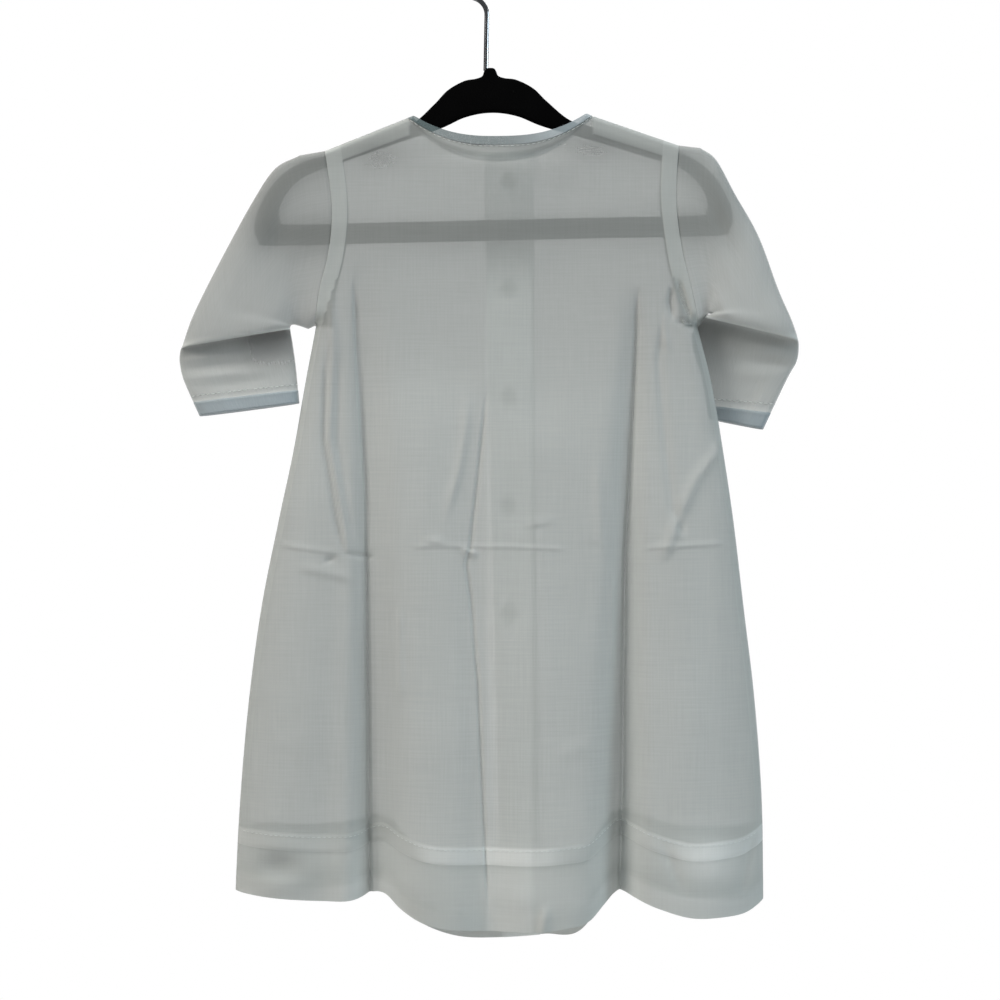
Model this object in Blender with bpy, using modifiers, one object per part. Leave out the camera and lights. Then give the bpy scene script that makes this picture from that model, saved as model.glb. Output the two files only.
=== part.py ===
# A sheer infant daygown, buttoned down its front, hanging on a slim flocked suit hanger.
# The tables are in millimetres and the objects in metres, +Z up. The origin is where the hook's
# inner top rests on a rail. The gown's back faces -Y, its buttoned front +Y, and y = 0 is the
# plane of the hanger. Left and right are as seen from -Y, which are also the wearer's.
import math

import bmesh
import bpy
import numpy as np
from mathutils import Matrix, Vector

MM = 0.001

# Cloth
WALL = 1.2
SEAM_GAP = 0.3
LAP_STEP = 1.8  # how far the outer front stands off the inner one

# Where the pieces of the body meet
NECK_CENTRE_X = 7.6
NECK_SIDE = {"left": (-46.2, -106.3), "right": (61.4, -105.1)}
NECK_RIM = {"left": (-43.3, -105.2), "right": (58.5, -103.9)}
SHOULDER_TIP = {"left": (-95.0, -125.8), "right": (112.0, -122.4)}
UNDERARM_Z = -228.0
NECK_DROP = {"back": 17.3, "front": 24.0}
RIM_DROP = {"back": 13.6, "front": 20.3}
NECK_POWER = 2.5  # 2 is a parabola, more is squarer
NECK_OPEN = 4.0  # extra depth of the neck opening at its middle
NECK_OPEN_Z = -118.0
NECK_OPEN_SPREAD = (42.0, 26.0)  # how far it reaches across and up
SHOULDER_ROUND = 3.4

# Side seams and depth of the body, from the hem up. The depths are from the mid-plane to the
# outside of the back and of the front.
BODY_SECTIONS = [  # z, left x, right x, back depth, front depth
    (-585.0, -147.5, 161.5, 28.0, 25.0),
    (-557.0, -147.0, 161.5, 27.0, 24.0),
    (-500.0, -144.0, 160.5, 24.0, 21.5),
    (-440.0, -138.5, 156.0, 21.0, 19.0),
    (-390.0, -131.5, 150.0, 18.5, 17.0),
    (-340.0, -121.5, 144.0, 16.0, 15.0),
    (-300.0, -113.0, 138.0, 13.5, 13.0),
    (-260.0, -106.0, 131.0, 11.0, 11.0),
    (-228.0, -100.0, 123.0, 9.0, 9.0),
    (-190.0, -94.0, 114.0, 7.0, 7.0),
    (-160.0, -90.0, 108.0, 6.0, 6.0),
    (-125.0, -90.0, 108.0, 5.4, 5.4),
    (-100.0, -90.0, 108.0, 5.2, 5.2),
]

# Armhole seams
ARMHOLES = [  # z, left x, right x
    (-228.0, -100.0, 123.0),
    (-205.0, -97.0, 118.5),
    (-190.0, -93.2, 114.8),
    (-172.0, -90.6, 111.8),
    (-155.0, -90.6, 110.2),
    (-140.0, -92.4, 110.6),
    (-122.0, -95.2, 112.0),
]

# Hanging folds. Each runs down from its start, through its x at 340 mm down, to its x at the hem,
# and its height there is how far it stands out (or, below zero, in).
FOLDS = {
    "back": [  # start z, x at start, x at 340, x at hem, height at hem, half width at hem
        (-190.0, -74.0, -70.0, -67.0, -17.0, 12.0),
        (-205.0, 87.0, 82.0, 76.5, -21.0, 12.0),
        (-215.0, -88.0, -84.0, -96.0, -4.0, 15.0),
        (-260.0, 0.0, -8.0, 2.0, -5.0, 13.0),
        (-240.0, 20.0, 30.0, 36.0, 6.0, 26.0),
        (-250.0, -30.0, -32.0, -28.0, 4.0, 22.0),
        (-215.0, 104.0, 112.0, 118.0, 6.0, 26.0),
    ],
    "front": [
        (-200.0, -74.0, -70.0, -67.0, 6.5, 11.0),
        (-205.0, 86.0, 82.0, 77.0, 7.0, 11.0),
        (-225.0, -88.0, -98.0, -108.0, -7.0, 17.0),
        (-240.0, -34.0, -40.0, -45.0, -9.0, 15.0),
        (-245.0, 46.0, 52.0, 55.0, -8.0, 14.0),
        (-235.0, 104.0, 112.0, 118.0, -7.0, 18.0),
    ],
}
FOLD_MIDDLE_Z = -340.0

# Hem: it rises at the two pressed folds and drops between them
HEMS = {
    "back": [  # x, z
        (-147.0, -557.0), (-119.0, -559.5), (-94.0, -561.0), (-74.0, -560.0), (-67.0, -557.2),
        (-59.0, -557.6), (-50.0, -565.0), (-36.0, -572.5), (-14.0, -576.5), (20.0, -577.2),
        (46.0, -574.8), (59.0, -571.5), (68.0, -563.5), (76.5, -556.8), (84.0, -558.6),
        (98.0, -564.0), (117.0, -569.3), (136.0, -569.5), (150.0, -567.8), (161.5, -562.0),
    ],
    "front": [
        (-147.0, -557.0), (-119.0, -558.5), (-94.0, -559.0), (-74.0, -557.5), (-66.0, -556.0),
        (-56.0, -560.5), (-46.0, -574.0), (-34.0, -583.0), (-18.0, -589.0), (8.0, -590.0),
        (34.0, -588.0), (54.0, -585.0), (64.0, -574.0), (72.0, -560.5), (80.0, -556.0),
        (98.0, -560.0), (117.0, -564.5), (136.0, -566.0), (150.0, -565.5), (161.5, -562.0),
    ],
}
HEM_REACH = 1.6  # how fast the hem's rise and fall fade above it

# The lapped front: the outer front's free edge and the inner front's free edge
LAP_EDGES = [  # z, outer front's edge x, inner front's edge x
    (-590.0, 8.8, 31.6),
    (-400.0, 4.0, 29.5),
    (-240.0, 0.0, 28.0),
    (-120.0, -1.8, 27.5),
]
LAP_RAMP = 22.0  # width over which the outer front rises off the inner front's line
LAP_MIDDLE_X = 14.0
SIDE_FLATTEN = 0.3  # share of the depth lost at the sides of the skirt
SIDE_FLATTEN_REACH = 80.0

# Sleeves: each row is a ring round the arm, from just past the armhole to the cuff. The inner end
# is at the underarm, the outer end on the top of the arm.
SLEEVES = {
    "left": [  # inner x, inner z, inner y, outer x, outer z, outer y, near depth, far depth
        (-104.1, -229.7, 0.0, -109.4, -128.2, 0.0, 6.6, 6.2),
        (-107.6, -228.5, 0.0, -124.0, -136.1, 0.0, 7.5, 6.6),
        (-110.6, -227.6, 0.0, -136.3, -154.2, 0.0, 9.0, 7.0),
        (-112.8, -227.1, 0.0, -150.5, -180.0, 0.0, 11.3, 7.7),
        (-114.4, -227.3, 0.0, -164.4, -206.9, 0.0, 13.6, 8.5),
        (-115.0, -227.9, 0.0, -172.6, -224.4, 0.0, 15.2, 9.0),
        (-115.2, -229.2, 0.0, -177.6, -238.6, 0.0, 14.6, 9.5),
        (-114.7, -232.6, 0.0, -179.4, -243.6, 0.0, 8.2, 10.0),
        (-113.5, -240.0, 0.0, -179.6, -250.0, 0.0, 6.0, 10.4),
        (-111.7, -253.7, 0.0, -177.0, -260.5, 0.0, 7.0, 11.0),
        (-110.0, -273.0, 0.0, -167.9, -280.6, 0.0, 9.0, 12.0),
    ],
    "right": [
        (125.4, -225.5, 0.0, 124.5, -123.8, 0.0, 6.6, 6.2),
        (127.4, -223.4, 0.0, 134.0, -131.0, 0.0, 7.5, 6.6),
        (128.6, -221.8, 0.0, 145.0, -151.0, 0.0, 9.0, 7.0),
        (129.4, -220.9, 0.0, 158.6, -175.5, 0.0, 11.3, 7.7),
        (130.2, -220.6, 0.0, 170.2, -206.9, 0.0, 13.6, 8.5),
        (130.8, -221.0, 0.0, 177.8, -224.4, 0.0, 15.2, 9.0),
        (128.6, -223.6, 1.5, 181.4, -234.5, 0.5, 14.6, 9.5),
        (124.6, -228.6, 7.5, 182.5, -240.6, 2.0, 8.2, 10.0),
        (121.5, -239.0, 14.0, 181.4, -248.8, 3.5, 6.0, 10.4),
        (127.0, -257.0, 16.0, 175.9, -259.0, 5.0, 6.5, 10.4),
        (131.5, -281.6, 17.0, 162.0, -288.2, 6.0, 7.0, 10.4),
    ],
}
ARMHOLE_HOLD = (0.55, 0.22, 0.06)  # share of the armhole's own curve kept by the first rings
SLEEVE_ROUND = 0.62  # 0.5 is an ellipse, less is boxier
CUFF_BAND = 6.0
UNDERARM_EASE = 2.5  # the sleeve's seam stands further off at the underarm, in seam gaps

# Buttons
BUTTON_X = 13.0
BUTTON_Z = (-141.0, -205.0, -269.0, -333.0, -397.0)
BUTTON_RADIUS = 5.0
BUTTON_THICK = 2.2
BUTTON_RIM = 0.5

# Hanger, before it tilts: half of its outline and half of its loop
HANGER_TILT = math.radians(1.3)
HANGER_THICK = 4.4
HANGER_EDGE = 1.1
HANGER_OUTLINE = [  # x, z
    (0.0, -77.0), (3.6, -77.6), (7.0, -80.4), (15.5, -84.6), (25.0, -89.5), (33.0, -97.5),
    (46.0, -108.6), (61.0, -113.6), (95.0, -125.6), (109.0, -129.0), (120.5, -134.8),
    (130.5, -144.6), (137.5, -157.0), (140.0, -167.0), (137.8, -174.6), (130.0, -178.0),
    (65.0, -178.0), (0.0, -178.0),
]
HANGER_LOOP = [
    (0.0, -103.2), (15.0, -105.5), (31.0, -112.2), (61.0, -121.4), (90.0, -131.0),
    (108.7, -137.4), (119.5, -146.0), (125.0, -156.0), (124.4, -163.6), (118.0, -166.0),
    (60.0, -166.0), (0.0, -166.0),
]
OUTLINE_STEPS = 2

# Hook: a wire that leans out to the left, then turns over the rail to the right
WIRE_RADIUS = 1.5
HOOK_INNER_RADIUS = 18.0
HOOK_LEAN_RADIUS = 10.0
HOOK_END_ANGLE = math.radians(-35.0)
HOOK_FOOT_Z = -76.7

# Grid lines of the body's panels: as shares of the width, and of the height below and above the
# underarm. They are closer at the seams, where the cloth turns.
SIDE_LINES = (0.0, 0.007, 0.022)
SHOULDER_COLUMNS = 6
NECK_COLUMNS = 18
SKIRT_ROWS = 11
YOKE_ROWS = (0.0, 0.035, 0.08, 0.16, 0.28, 0.42, 0.57, 0.72, 0.84, 0.92, 0.963, 0.985, 1.0)
SLEEVE_RING = 26
BINDING_STEPS = 30
BINDING_FOOT = 0.12  # share of the band left out at its seam, so that it clears the panels
CORNER_FOOT = 0.3  # and as much more at the shoulders

# Colours, linear
CLOTH = (0.62, 0.65, 0.64)
BLUE = (0.42, 0.55, 0.66)
VELVET = (0.012, 0.012, 0.013)
CHROME = (0.72, 0.73, 0.75)
PEARL = (0.80, 0.80, 0.77)


def read(table, column, z):
    """Reads one column of a table that runs along its first column, on a smooth curve."""
    rows = sorted(table)
    keys = [row[0] for row in rows]
    values = [row[column] for row in rows]
    z = min(max(z, keys[0]), keys[-1])
    i = max(0, min(int(np.searchsorted(keys, z)) - 1, len(keys) - 2))
    step = keys[i + 1] - keys[i]
    chord = (values[i + 1] - values[i]) / step
    before = (values[i] - values[i - 1]) / (keys[i] - keys[i - 1]) if i else chord
    after = (values[i + 2] - values[i + 1]) / (keys[i + 2] - keys[i + 1]) if i + 2 < len(keys) else chord
    t = (z - keys[i]) / step
    slope_in, slope_out = (before + chord) / 2, (chord + after) / 2
    bend = (slope_in - chord) * (1 - t) - (slope_out - chord) * t
    return values[i] + step * t * (chord + (1 - t) * bend)


def curl(distance, radius):
    """How far the cloth has come away from the mid-plane, 0 at a seam and 1 past its rounding."""
    t = min(max(distance / radius, 0.0), 1.0)
    return math.sqrt(1 - (1 - t) ** 2)


def ease(t):
    t = min(max(t, 0.0), 1.0)
    return t * t * (3 - 2 * t)


def shoulder_z(x):
    side = "left" if x < NECK_CENTRE_X else "right"
    (x0, z0), (x1, z1) = NECK_SIDE[side], SHOULDER_TIP[side]
    return z0 + (z1 - z0) * (x - x0) / (x1 - x0)


def neck_edge_z(face, x, corners, drop):
    """Height of the neckline between two corners, sagging by drop in the middle."""
    (x0, z0), (x1, z1) = corners["left"], corners["right"]
    t = (x - x0) / (x1 - x0)
    return z0 + (z1 - z0) * t - drop[face] * (1 - abs(2 * t - 1) ** NECK_POWER)


def fold_height(face, x, z):
    total = 0.0
    for start, x_start, x_middle, x_hem, height, width in FOLDS[face]:
        if z >= start:
            continue
        if z > FOLD_MIDDLE_Z:
            t = (start - z) / (start - FOLD_MIDDLE_Z)
            line = x_start + (x_middle - x_start) * ease(t)
        else:
            t = (FOLD_MIDDLE_Z - z) / (FOLD_MIDDLE_Z - BODY_SECTIONS[0][0])
            line = x_middle + (x_hem - x_middle) * t
        grown = (start - z) / (start - BODY_SECTIONS[0][0])
        total += height * grown ** 0.8 * math.exp(-(((x - line) / (width * (0.55 + 0.45 * grown))) ** 2))
    return total


def seam_curl(x, z, corners=NECK_SIDE):
    """1 in the middle of a panel, falling to 0 at the side seams and the shoulder seams."""
    roundness = 1.0
    for side, column in (("left", 1), ("right", 2)):
        if z < UNDERARM_Z:
            away = abs(x - read(BODY_SECTIONS, column, z))
        else:
            away = math.hypot(x - read(BODY_SECTIONS, column, UNDERARM_Z), z - UNDERARM_Z)
        roundness *= curl(away, 1.15 * read(BODY_SECTIONS, 3, z))
        corner_x, corner_z = corners[side]
        if (x - corner_x) * (-1 if side == "left" else 1) >= 0:
            away = shoulder_z(x) - z
        else:
            away = math.hypot(x - corner_x, z - corner_z)
        roundness *= curl(away, SHOULDER_ROUND)
    return roundness


def body_depth(face, x, z, corners=NECK_SIDE):
    """Distance from the mid-plane to the outside of the back or of the front."""
    left, right = read(BODY_SECTIONS, 1, z), read(BODY_SECTIONS, 2, z)
    across = (2 * x - left - right) / (right - left)
    depth = read(BODY_SECTIONS, 3 if face == "back" else 4, z)
    depth *= 1 - SIDE_FLATTEN * min(abs(across), 1.0) ** 2 * ease((UNDERARM_Z - z) / SIDE_FLATTEN_REACH)
    wide, tall = NECK_OPEN_SPREAD
    near_neck = math.exp(-((x - NECK_CENTRE_X) / wide) ** 2 - ((z - NECK_OPEN_Z) / tall) ** 2)
    depth += NECK_OPEN * near_neck + fold_height(face, x, z)
    return depth * seam_curl(x, z, corners)


def body_xz(face, u, row):
    """Place of a grid line crossing, seen from the front. row is 0 to 1 up the skirt, 1 to 2 above."""
    if row <= 1:
        level = HEMS[face][0][1]
        z = level + (UNDERARM_Z - level) * row
        left, right = read(BODY_SECTIONS, 1, z), read(BODY_SECTIONS, 2, z)
        x = left + (right - left) * u
        return x, z + (read(HEMS[face], 1, x) - level) * (1 - row) ** HEM_REACH
    up = row - 1
    tip_x0, tip_x1 = SHOULDER_TIP["left"][0], SHOULDER_TIP["right"][0]
    tip_z = SHOULDER_TIP["left"][1] + (SHOULDER_TIP["right"][1] - SHOULDER_TIP["left"][1]) * u
    z_edge = UNDERARM_Z + (tip_z - UNDERARM_Z) * up
    left, right = read(ARMHOLES, 1, z_edge), read(ARMHOLES, 2, z_edge)
    x = left + (right - left) * u
    x_top = tip_x0 + (tip_x1 - tip_x0) * u
    if NECK_SIDE["left"][0] < x_top < NECK_SIDE["right"][0]:
        z_top = neck_edge_z(face, x_top, NECK_SIDE, NECK_DROP) - SEAM_GAP
    else:
        z_top = shoulder_z(x_top)
    return x, UNDERARM_Z + (z_top - UNDERARM_Z) * up


def lap_lift(x, z, outer):
    """Extra depth of the outer front where it lies over the inner one."""
    return LAP_STEP * ease((read(LAP_EDGES, 2, z) + LAP_RAMP - x) / LAP_RAMP) if outer else 0.0


def body_point(face, u, row, outer=False):
    x, z = body_xz(face, u, row)
    depth = max(body_depth(face, x, z) + lap_lift(x, z, outer), SEAM_GAP / 2)
    return Vector((x, -depth if face == "back" else depth, z)) * MM


def edge_share(x_edge, row):
    """The share u at which a free edge's x lies on one row."""
    left, right = body_xz("front", 0.0, row)[0], body_xz("front", 1.0, row)[0]
    return (x_edge - left) / (right - left)


def material(name, colour, roughness, metallic=0.0):
    made = bpy.data.materials.new(name)
    made.use_nodes = True
    shader = made.node_tree.nodes["Principled BSDF"]
    shader.inputs["Base Color"].default_value = (*colour, 1.0)
    shader.inputs["Roughness"].default_value = roughness
    shader.inputs["Metallic"].default_value = metallic
    return made


def keep(obj, surface, smooth_angle=40):
    """Files an object with the gown's parts and gives it its material and shading."""
    for old in obj.users_collection:
        old.objects.unlink(obj)
    PARTS.objects.link(obj)
    obj.data.materials.clear()
    obj.data.materials.append(surface)
    if obj.type == "MESH":
        obj.data.shade_smooth()
        obj.data.set_sharp_from_angle(angle=math.radians(smooth_angle))
    return obj


def open_sheet(name, columns, rows, place, closed=False, flip=False):
    """A grid of columns by rows, each crossing put where place(column, row) says."""
    bm = bmesh.new()
    across, up = len(columns) - 1, len(rows) - 1
    bmesh.ops.create_grid(bm, x_segments=across, y_segments=up, size=0.5)
    for vert in bm.verts:
        i, j = round((vert.co.x + 0.5) * across), round((vert.co.y + 0.5) * up)
        vert.co = place(columns[i], rows[j])
    if closed:
        bmesh.ops.remove_doubles(bm, verts=bm.verts, dist=0.00001)
    if flip:
        bmesh.ops.reverse_faces(bm, faces=bm.faces)
    mesh = bpy.data.meshes.new(name)
    bm.to_mesh(mesh)
    bm.free()
    return bpy.data.objects.new(name, mesh)


def cloth_wall(sheet, surface, side=None):
    """Gives an open sheet its thickness, inwards, and keeps it on its own side of the seams."""
    bpy.context.scene.collection.objects.link(sheet)
    solid = sheet.modifiers.new("wall", "SOLIDIFY")
    solid.thickness = WALL * MM
    solid.offset = -1
    bpy.context.view_layer.update()
    thick = bpy.data.meshes.new_from_object(sheet.evaluated_get(bpy.context.evaluated_depsgraph_get()))
    sheet.modifiers.clear()
    sheet.data = thick
    limit = SEAM_GAP / 2 * MM
    for vert in thick.vertices:
        if side == "back":
            vert.co.y = min(vert.co.y, -limit)
        elif side == "front":
            vert.co.y = max(vert.co.y, limit)
    return keep(sheet, surface)


def panel_columns():
    """Shares of the width: side seam, shoulder, neck, shoulder, side seam."""
    tip_x0, tip_x1 = SHOULDER_TIP["left"][0], SHOULDER_TIP["right"][0]
    neck0 = (NECK_SIDE["left"][0] - tip_x0) / (tip_x1 - tip_x0)
    neck1 = (NECK_SIDE["right"][0] - tip_x0) / (tip_x1 - tip_x0)
    left = [SIDE_LINES[-1] + (neck0 - SIDE_LINES[-1]) * i / SHOULDER_COLUMNS for i in range(1, SHOULDER_COLUMNS)]
    neck = [neck0 + (neck1 - neck0) * i / NECK_COLUMNS for i in range(NECK_COLUMNS + 1)]
    right_end = 1 - SIDE_LINES[-1]
    right = [neck1 + (right_end - neck1) * i / SHOULDER_COLUMNS for i in range(1, SHOULDER_COLUMNS)]
    return [*SIDE_LINES, *left, *neck, *right, *(1 - line for line in reversed(SIDE_LINES))]


def panel_rows():
    return [i / SKIRT_ROWS for i in range(SKIRT_ROWS)] + [1 + up for up in YOKE_ROWS]


def back_panel(cloth):
    sheet = open_sheet("back_panel", panel_columns(), panel_rows(), lambda u, row: body_point("back", u, row))
    return cloth_wall(sheet, cloth, "back")


def front_panel(name, outer, cloth):
    """One front, from its side seam to its free edge."""
    middle = edge_share(LAP_MIDDLE_X, 1.0)
    columns = [u for u in panel_columns() if (u > middle if outer else u < middle)]
    columns = [middle, *columns] if outer else [*columns, middle]
    lap_column = 1 if outer else 2

    def place(u, row):
        end = edge_share(read(LAP_EDGES, lap_column, body_xz("front", u, row)[1]), row)
        if outer:
            u = end + (u - middle) * (1 - end) / (1 - middle)
        else:
            u = u * end / middle
        return body_point("front", u, row, outer)

    sheet = open_sheet(name, columns, panel_rows(), place, flip=True)
    return cloth_wall(sheet, cloth, "front")


def armhole_point(side, w, face, gap):
    """The armhole seam, from the shoulder tip (w = 0) to the underarm (w = 1)."""
    tip_z = SHOULDER_TIP[side][1]
    z = tip_z + (UNDERARM_Z - tip_z) * w
    x = read(ARMHOLES, 1 if side == "left" else 2, z)
    depth = body_depth(face, x, z)
    x += gap * (-1 if side == "left" else 1)
    return x, -depth if face == "back" else depth, z


def sleeve_point(side, ring, angle):
    """A point on a sleeve: ring 0 is the armhole, then one ring for each row of the table."""
    face = "back" if angle < math.pi else "front"
    swing = math.cos(angle)
    w = 0.5 - 0.5 * math.copysign(abs(swing) ** 0.85, swing)
    gap = SEAM_GAP * (1.6 + UNDERARM_EASE * w ** 6)
    if ring <= 0:
        return Vector(armhole_point(side, w, face, gap)) * MM
    rows = [(i + 1, *row) for i, row in enumerate(SLEEVES[side])]
    in_x, in_z, in_y, out_x, out_z, out_y, near, far = (read(rows, c, ring) for c in range(1, 9))
    x, z = out_x + (in_x - out_x) * w, out_z + (in_z - out_z) * w
    depth = (near if face == "back" else far) * abs(math.sin(angle)) ** SLEEVE_ROUND
    y = out_y + (in_y - out_y) * w + (-depth if face == "back" else depth)
    hold = float(np.interp(ring, range(5), (1.0, *ARMHOLE_HOLD, 0.0)))
    ax, ay, az = armhole_point(side, w, face, gap)
    tip, under = SHOULDER_TIP[side], (read(ARMHOLES, 1 if side == "left" else 2, UNDERARM_Z), UNDERARM_Z)
    bow = ax - (tip[0] + (under[0] - tip[0]) * w)
    return Vector((x + bow * hold, y + (ay - y) * hold, z)) * MM


def cuff_ring(side):
    """The ring number where the cuff binding starts."""
    last = len(SLEEVES[side])
    down = SLEEVES[side][-2][1] - SLEEVES[side][-1][1]
    return last - CUFF_BAND / down


def sleeve(side, cloth):
    rings = list(range(len(SLEEVES[side]))) + [cuff_ring(side)]
    angles = [2 * math.pi * i / SLEEVE_RING for i in range(SLEEVE_RING + 1)]
    place = lambda angle, ring: sleeve_point(side, ring, angle % (2 * math.pi))
    sheet = open_sheet(f"sleeve_{side}", angles, rings, place, closed=True, flip=side == "left")
    return cloth_wall(sheet, cloth)


def cuff_binding(side, blue):
    """The bound edge of a sleeve, below the sleeve's own cloth."""
    start, end = cuff_ring(side), len(SLEEVES[side])
    rings = [start + 0.02, (start + end) / 2, end]
    angles = [2 * math.pi * i / SLEEVE_RING for i in range(SLEEVE_RING + 1)]
    place = lambda angle, ring: sleeve_point(side, ring, angle % (2 * math.pi))
    sheet = open_sheet(f"cuff_binding_{side}", angles, rings, place, closed=True, flip=side == "left")
    return cloth_wall(sheet, blue)


def neck_point(face, along, up, outer):
    """A point of the neck binding. along is 0 to 1 from the left corner to the right, up is 0 at
    the seam to the panels and 1 at the rim."""
    corners = {
        side: tuple(low + (high - low) * up for low, high in zip(NECK_SIDE[side], NECK_RIM[side]))
        for side in ("left", "right")
    }
    drop = {face: NECK_DROP[face] + (RIM_DROP[face] - NECK_DROP[face]) * up}
    x = corners["left"][0] + (corners["right"][0] - corners["left"][0]) * along
    z = neck_edge_z(face, x, corners, drop)
    depth = body_depth(face, x, z, corners) + lap_lift(x, z, outer)
    return Vector((x, -depth if face == "back" else depth, z)) * MM


def neck_binding(blue):
    """One strip: from the inner front's edge, round the back, to the outer front's edge."""
    rim_z = NECK_SIDE["left"][1] - NECK_DROP["front"]
    width = NECK_SIDE["right"][0] - NECK_SIDE["left"][0]
    inner_end = (read(LAP_EDGES, 2, rim_z) - NECK_SIDE["left"][0]) / width
    outer_end = (read(LAP_EDGES, 1, rim_z) - NECK_SIDE["left"][0]) / width
    even = [0.5 - 0.5 * math.cos(math.pi * i / BINDING_STEPS) for i in range(BINDING_STEPS + 1)]
    route = [("front", t, False) for t in reversed([t for t in even if 0 < t < inner_end - 0.02])]
    route = [("front", inner_end, False), *route, *(("back", t, False) for t in even)]
    route += [("front", t, True) for t in reversed([t for t in even if outer_end + 0.02 < t < 1])]
    route += [("front", outer_end, True)]

    def place(i, up):
        face, along, outer = route[i]
        foot = BINDING_FOOT + CORNER_FOOT * abs(2 * along - 1) ** 6
        return neck_point(face, along, foot + (1 - foot) * up, outer)

    sheet = open_sheet("neck_binding", range(len(route)), (0.0, 0.5, 1.0), place)
    return cloth_wall(sheet, blue)


def button(number, z, pearl):
    """A turned button with a raised rim, its back on the outer front."""
    profile = [(0.0, 0.0), (BUTTON_RADIUS - 0.5, 0.0), (BUTTON_RADIUS, 0.6), (BUTTON_RADIUS, 1.6),
               (BUTTON_RADIUS - 0.6, BUTTON_THICK), (BUTTON_RADIUS - 1.4, BUTTON_THICK),
               (BUTTON_RADIUS - 2.2, BUTTON_THICK - BUTTON_RIM), (0.0, BUTTON_THICK - BUTTON_RIM)]
    bm = bmesh.new()
    verts = [bm.verts.new((r * MM, 0.0, height * MM)) for r, height in reversed(profile)]
    for a, b in zip(verts, verts[1:]):
        bm.edges.new((a, b))
    mesh = bpy.data.meshes.new(f"button_{number}")
    bm.to_mesh(mesh)
    bm.free()
    obj = bpy.data.objects.new(f"button_{number}", mesh)
    turn = obj.modifiers.new("turn", "SCREW")
    turn.steps = turn.render_steps = 18
    turn.use_merge_vertices = True
    turn.merge_threshold = 0.00002
    step = 3.0
    here, across, up = (
        Vector((x, body_depth("front", x, zz) + lap_lift(x, zz, True), zz))
        for x, zz in ((BUTTON_X, z), (BUTTON_X + step, z), (BUTTON_X, z + step))
    )
    out = (up - here).cross(across - here).normalized()
    out = out if out.y > 0 else -out
    lift = max(
        (Vector((x, body_depth("front", x, zz) + lap_lift(x, zz, True), zz)) - here).dot(out)
        for x in (BUTTON_X - BUTTON_RADIUS, BUTTON_X, BUTTON_X + BUTTON_RADIUS)
        for zz in (z - BUTTON_RADIUS, z, z + BUTTON_RADIUS)
    )
    turned = out.to_track_quat("Z", "Y").to_matrix().to_4x4()
    obj.matrix_world = Matrix.Translation((here + out * (lift + SEAM_GAP)) * MM) @ turned
    return keep(obj, pearl)


def smooth_loop(half):
    """A closed outline from its right half, rounded through its points."""
    points = [Vector(p) for p in half] + [Vector((-x, z)) for x, z in reversed(half[1:-1])]
    count, made = len(points), []
    for i in range(count):
        p0, p1, p2, p3 = (points[(i + k) % count] for k in (-1, 0, 1, 2))
        for step in range(OUTLINE_STEPS):
            t = step / OUTLINE_STEPS
            made.append(0.5 * (2 * p1 + (p2 - p0) * t + (2 * p0 - 5 * p1 + 4 * p2 - p3) * t * t
                               + (3 * p1 - p0 - 3 * p2 + p3) * t ** 3))
    return made


def hanger_body(velvet):
    """The flocked slab: shoulders, loop and bottom bar in one outline with a hole."""
    curve = bpy.data.curves.new("hanger_body", "CURVE")
    curve.dimensions = "2D"
    curve.fill_mode = "BOTH"
    curve.extrude = (HANGER_THICK / 2 - HANGER_EDGE) * MM
    curve.bevel_depth = HANGER_EDGE * MM
    curve.bevel_resolution = 1
    curve.offset = -HANGER_EDGE * MM
    for half in (HANGER_OUTLINE, HANGER_LOOP):
        points = smooth_loop(half)
        spline = curve.splines.new("POLY")
        spline.points.add(len(points) - 1)
        for slot, point in zip(spline.points, points):
            slot.co = (point.x * MM, point.y * MM, 0.0, 1.0)
        spline.use_cyclic_u = True
    obj = bpy.data.objects.new("hanger_body", curve)
    obj.rotation_euler = (math.pi / 2, -HANGER_TILT, 0.0)
    return keep(obj, velvet)


def hanger_hook(chrome):
    """Foot, lean to the left, then round over the rail."""
    radius = HOOK_INNER_RADIUS + WIRE_RADIUS
    lean = math.acos(HOOK_LEAN_RADIUS / (HOOK_LEAN_RADIUS + radius))
    lean_z = -HOOK_INNER_RADIUS - (HOOK_LEAN_RADIUS + radius) * math.sin(lean)
    foot_x = -math.sin(HANGER_TILT) * HOOK_FOOT_Z
    points = [(foot_x * (1 - t), HOOK_FOOT_Z + (lean_z - HOOK_FOOT_Z) * t) for t in (0.0, 0.3, 0.6, 0.85)]
    for i in range(7):
        t = lean * i / 6
        points.append((HOOK_LEAN_RADIUS * (math.cos(t) - 1), lean_z + HOOK_LEAN_RADIUS * math.sin(t)))
    start = math.pi + lean
    for i in range(1, 25):
        t = start + (HOOK_END_ANGLE - start) * i / 24
        points.append((radius * math.cos(t), -HOOK_INNER_RADIUS + radius * math.sin(t)))
    curve = bpy.data.curves.new("hanger_hook", "CURVE")
    curve.dimensions = "3D"
    curve.bevel_depth = WIRE_RADIUS * MM
    curve.bevel_resolution = 2
    curve.use_fill_caps = True
    spline = curve.splines.new("POLY")
    spline.points.add(len(points) - 1)
    for slot, (x, z) in zip(spline.points, points):
        slot.co = (x * MM, 0.0, z * MM, 1.0)
    return keep(bpy.data.objects.new("hanger_hook", curve), chrome)


for old in list(bpy.data.objects):
    bpy.data.objects.remove(old, do_unlink=True)
PARTS = bpy.data.collections.new("daygown_on_hanger")
bpy.context.scene.collection.children.link(PARTS)

batiste = material("batiste", CLOTH, 0.85)
bias_tape = material("bias_tape", BLUE, 0.85)
flocking = material("flocking", VELVET, 0.95)
chrome_wire = material("chrome_wire", CHROME, 0.15, 1.0)
pearl = material("pearl", PEARL, 0.3)

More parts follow.
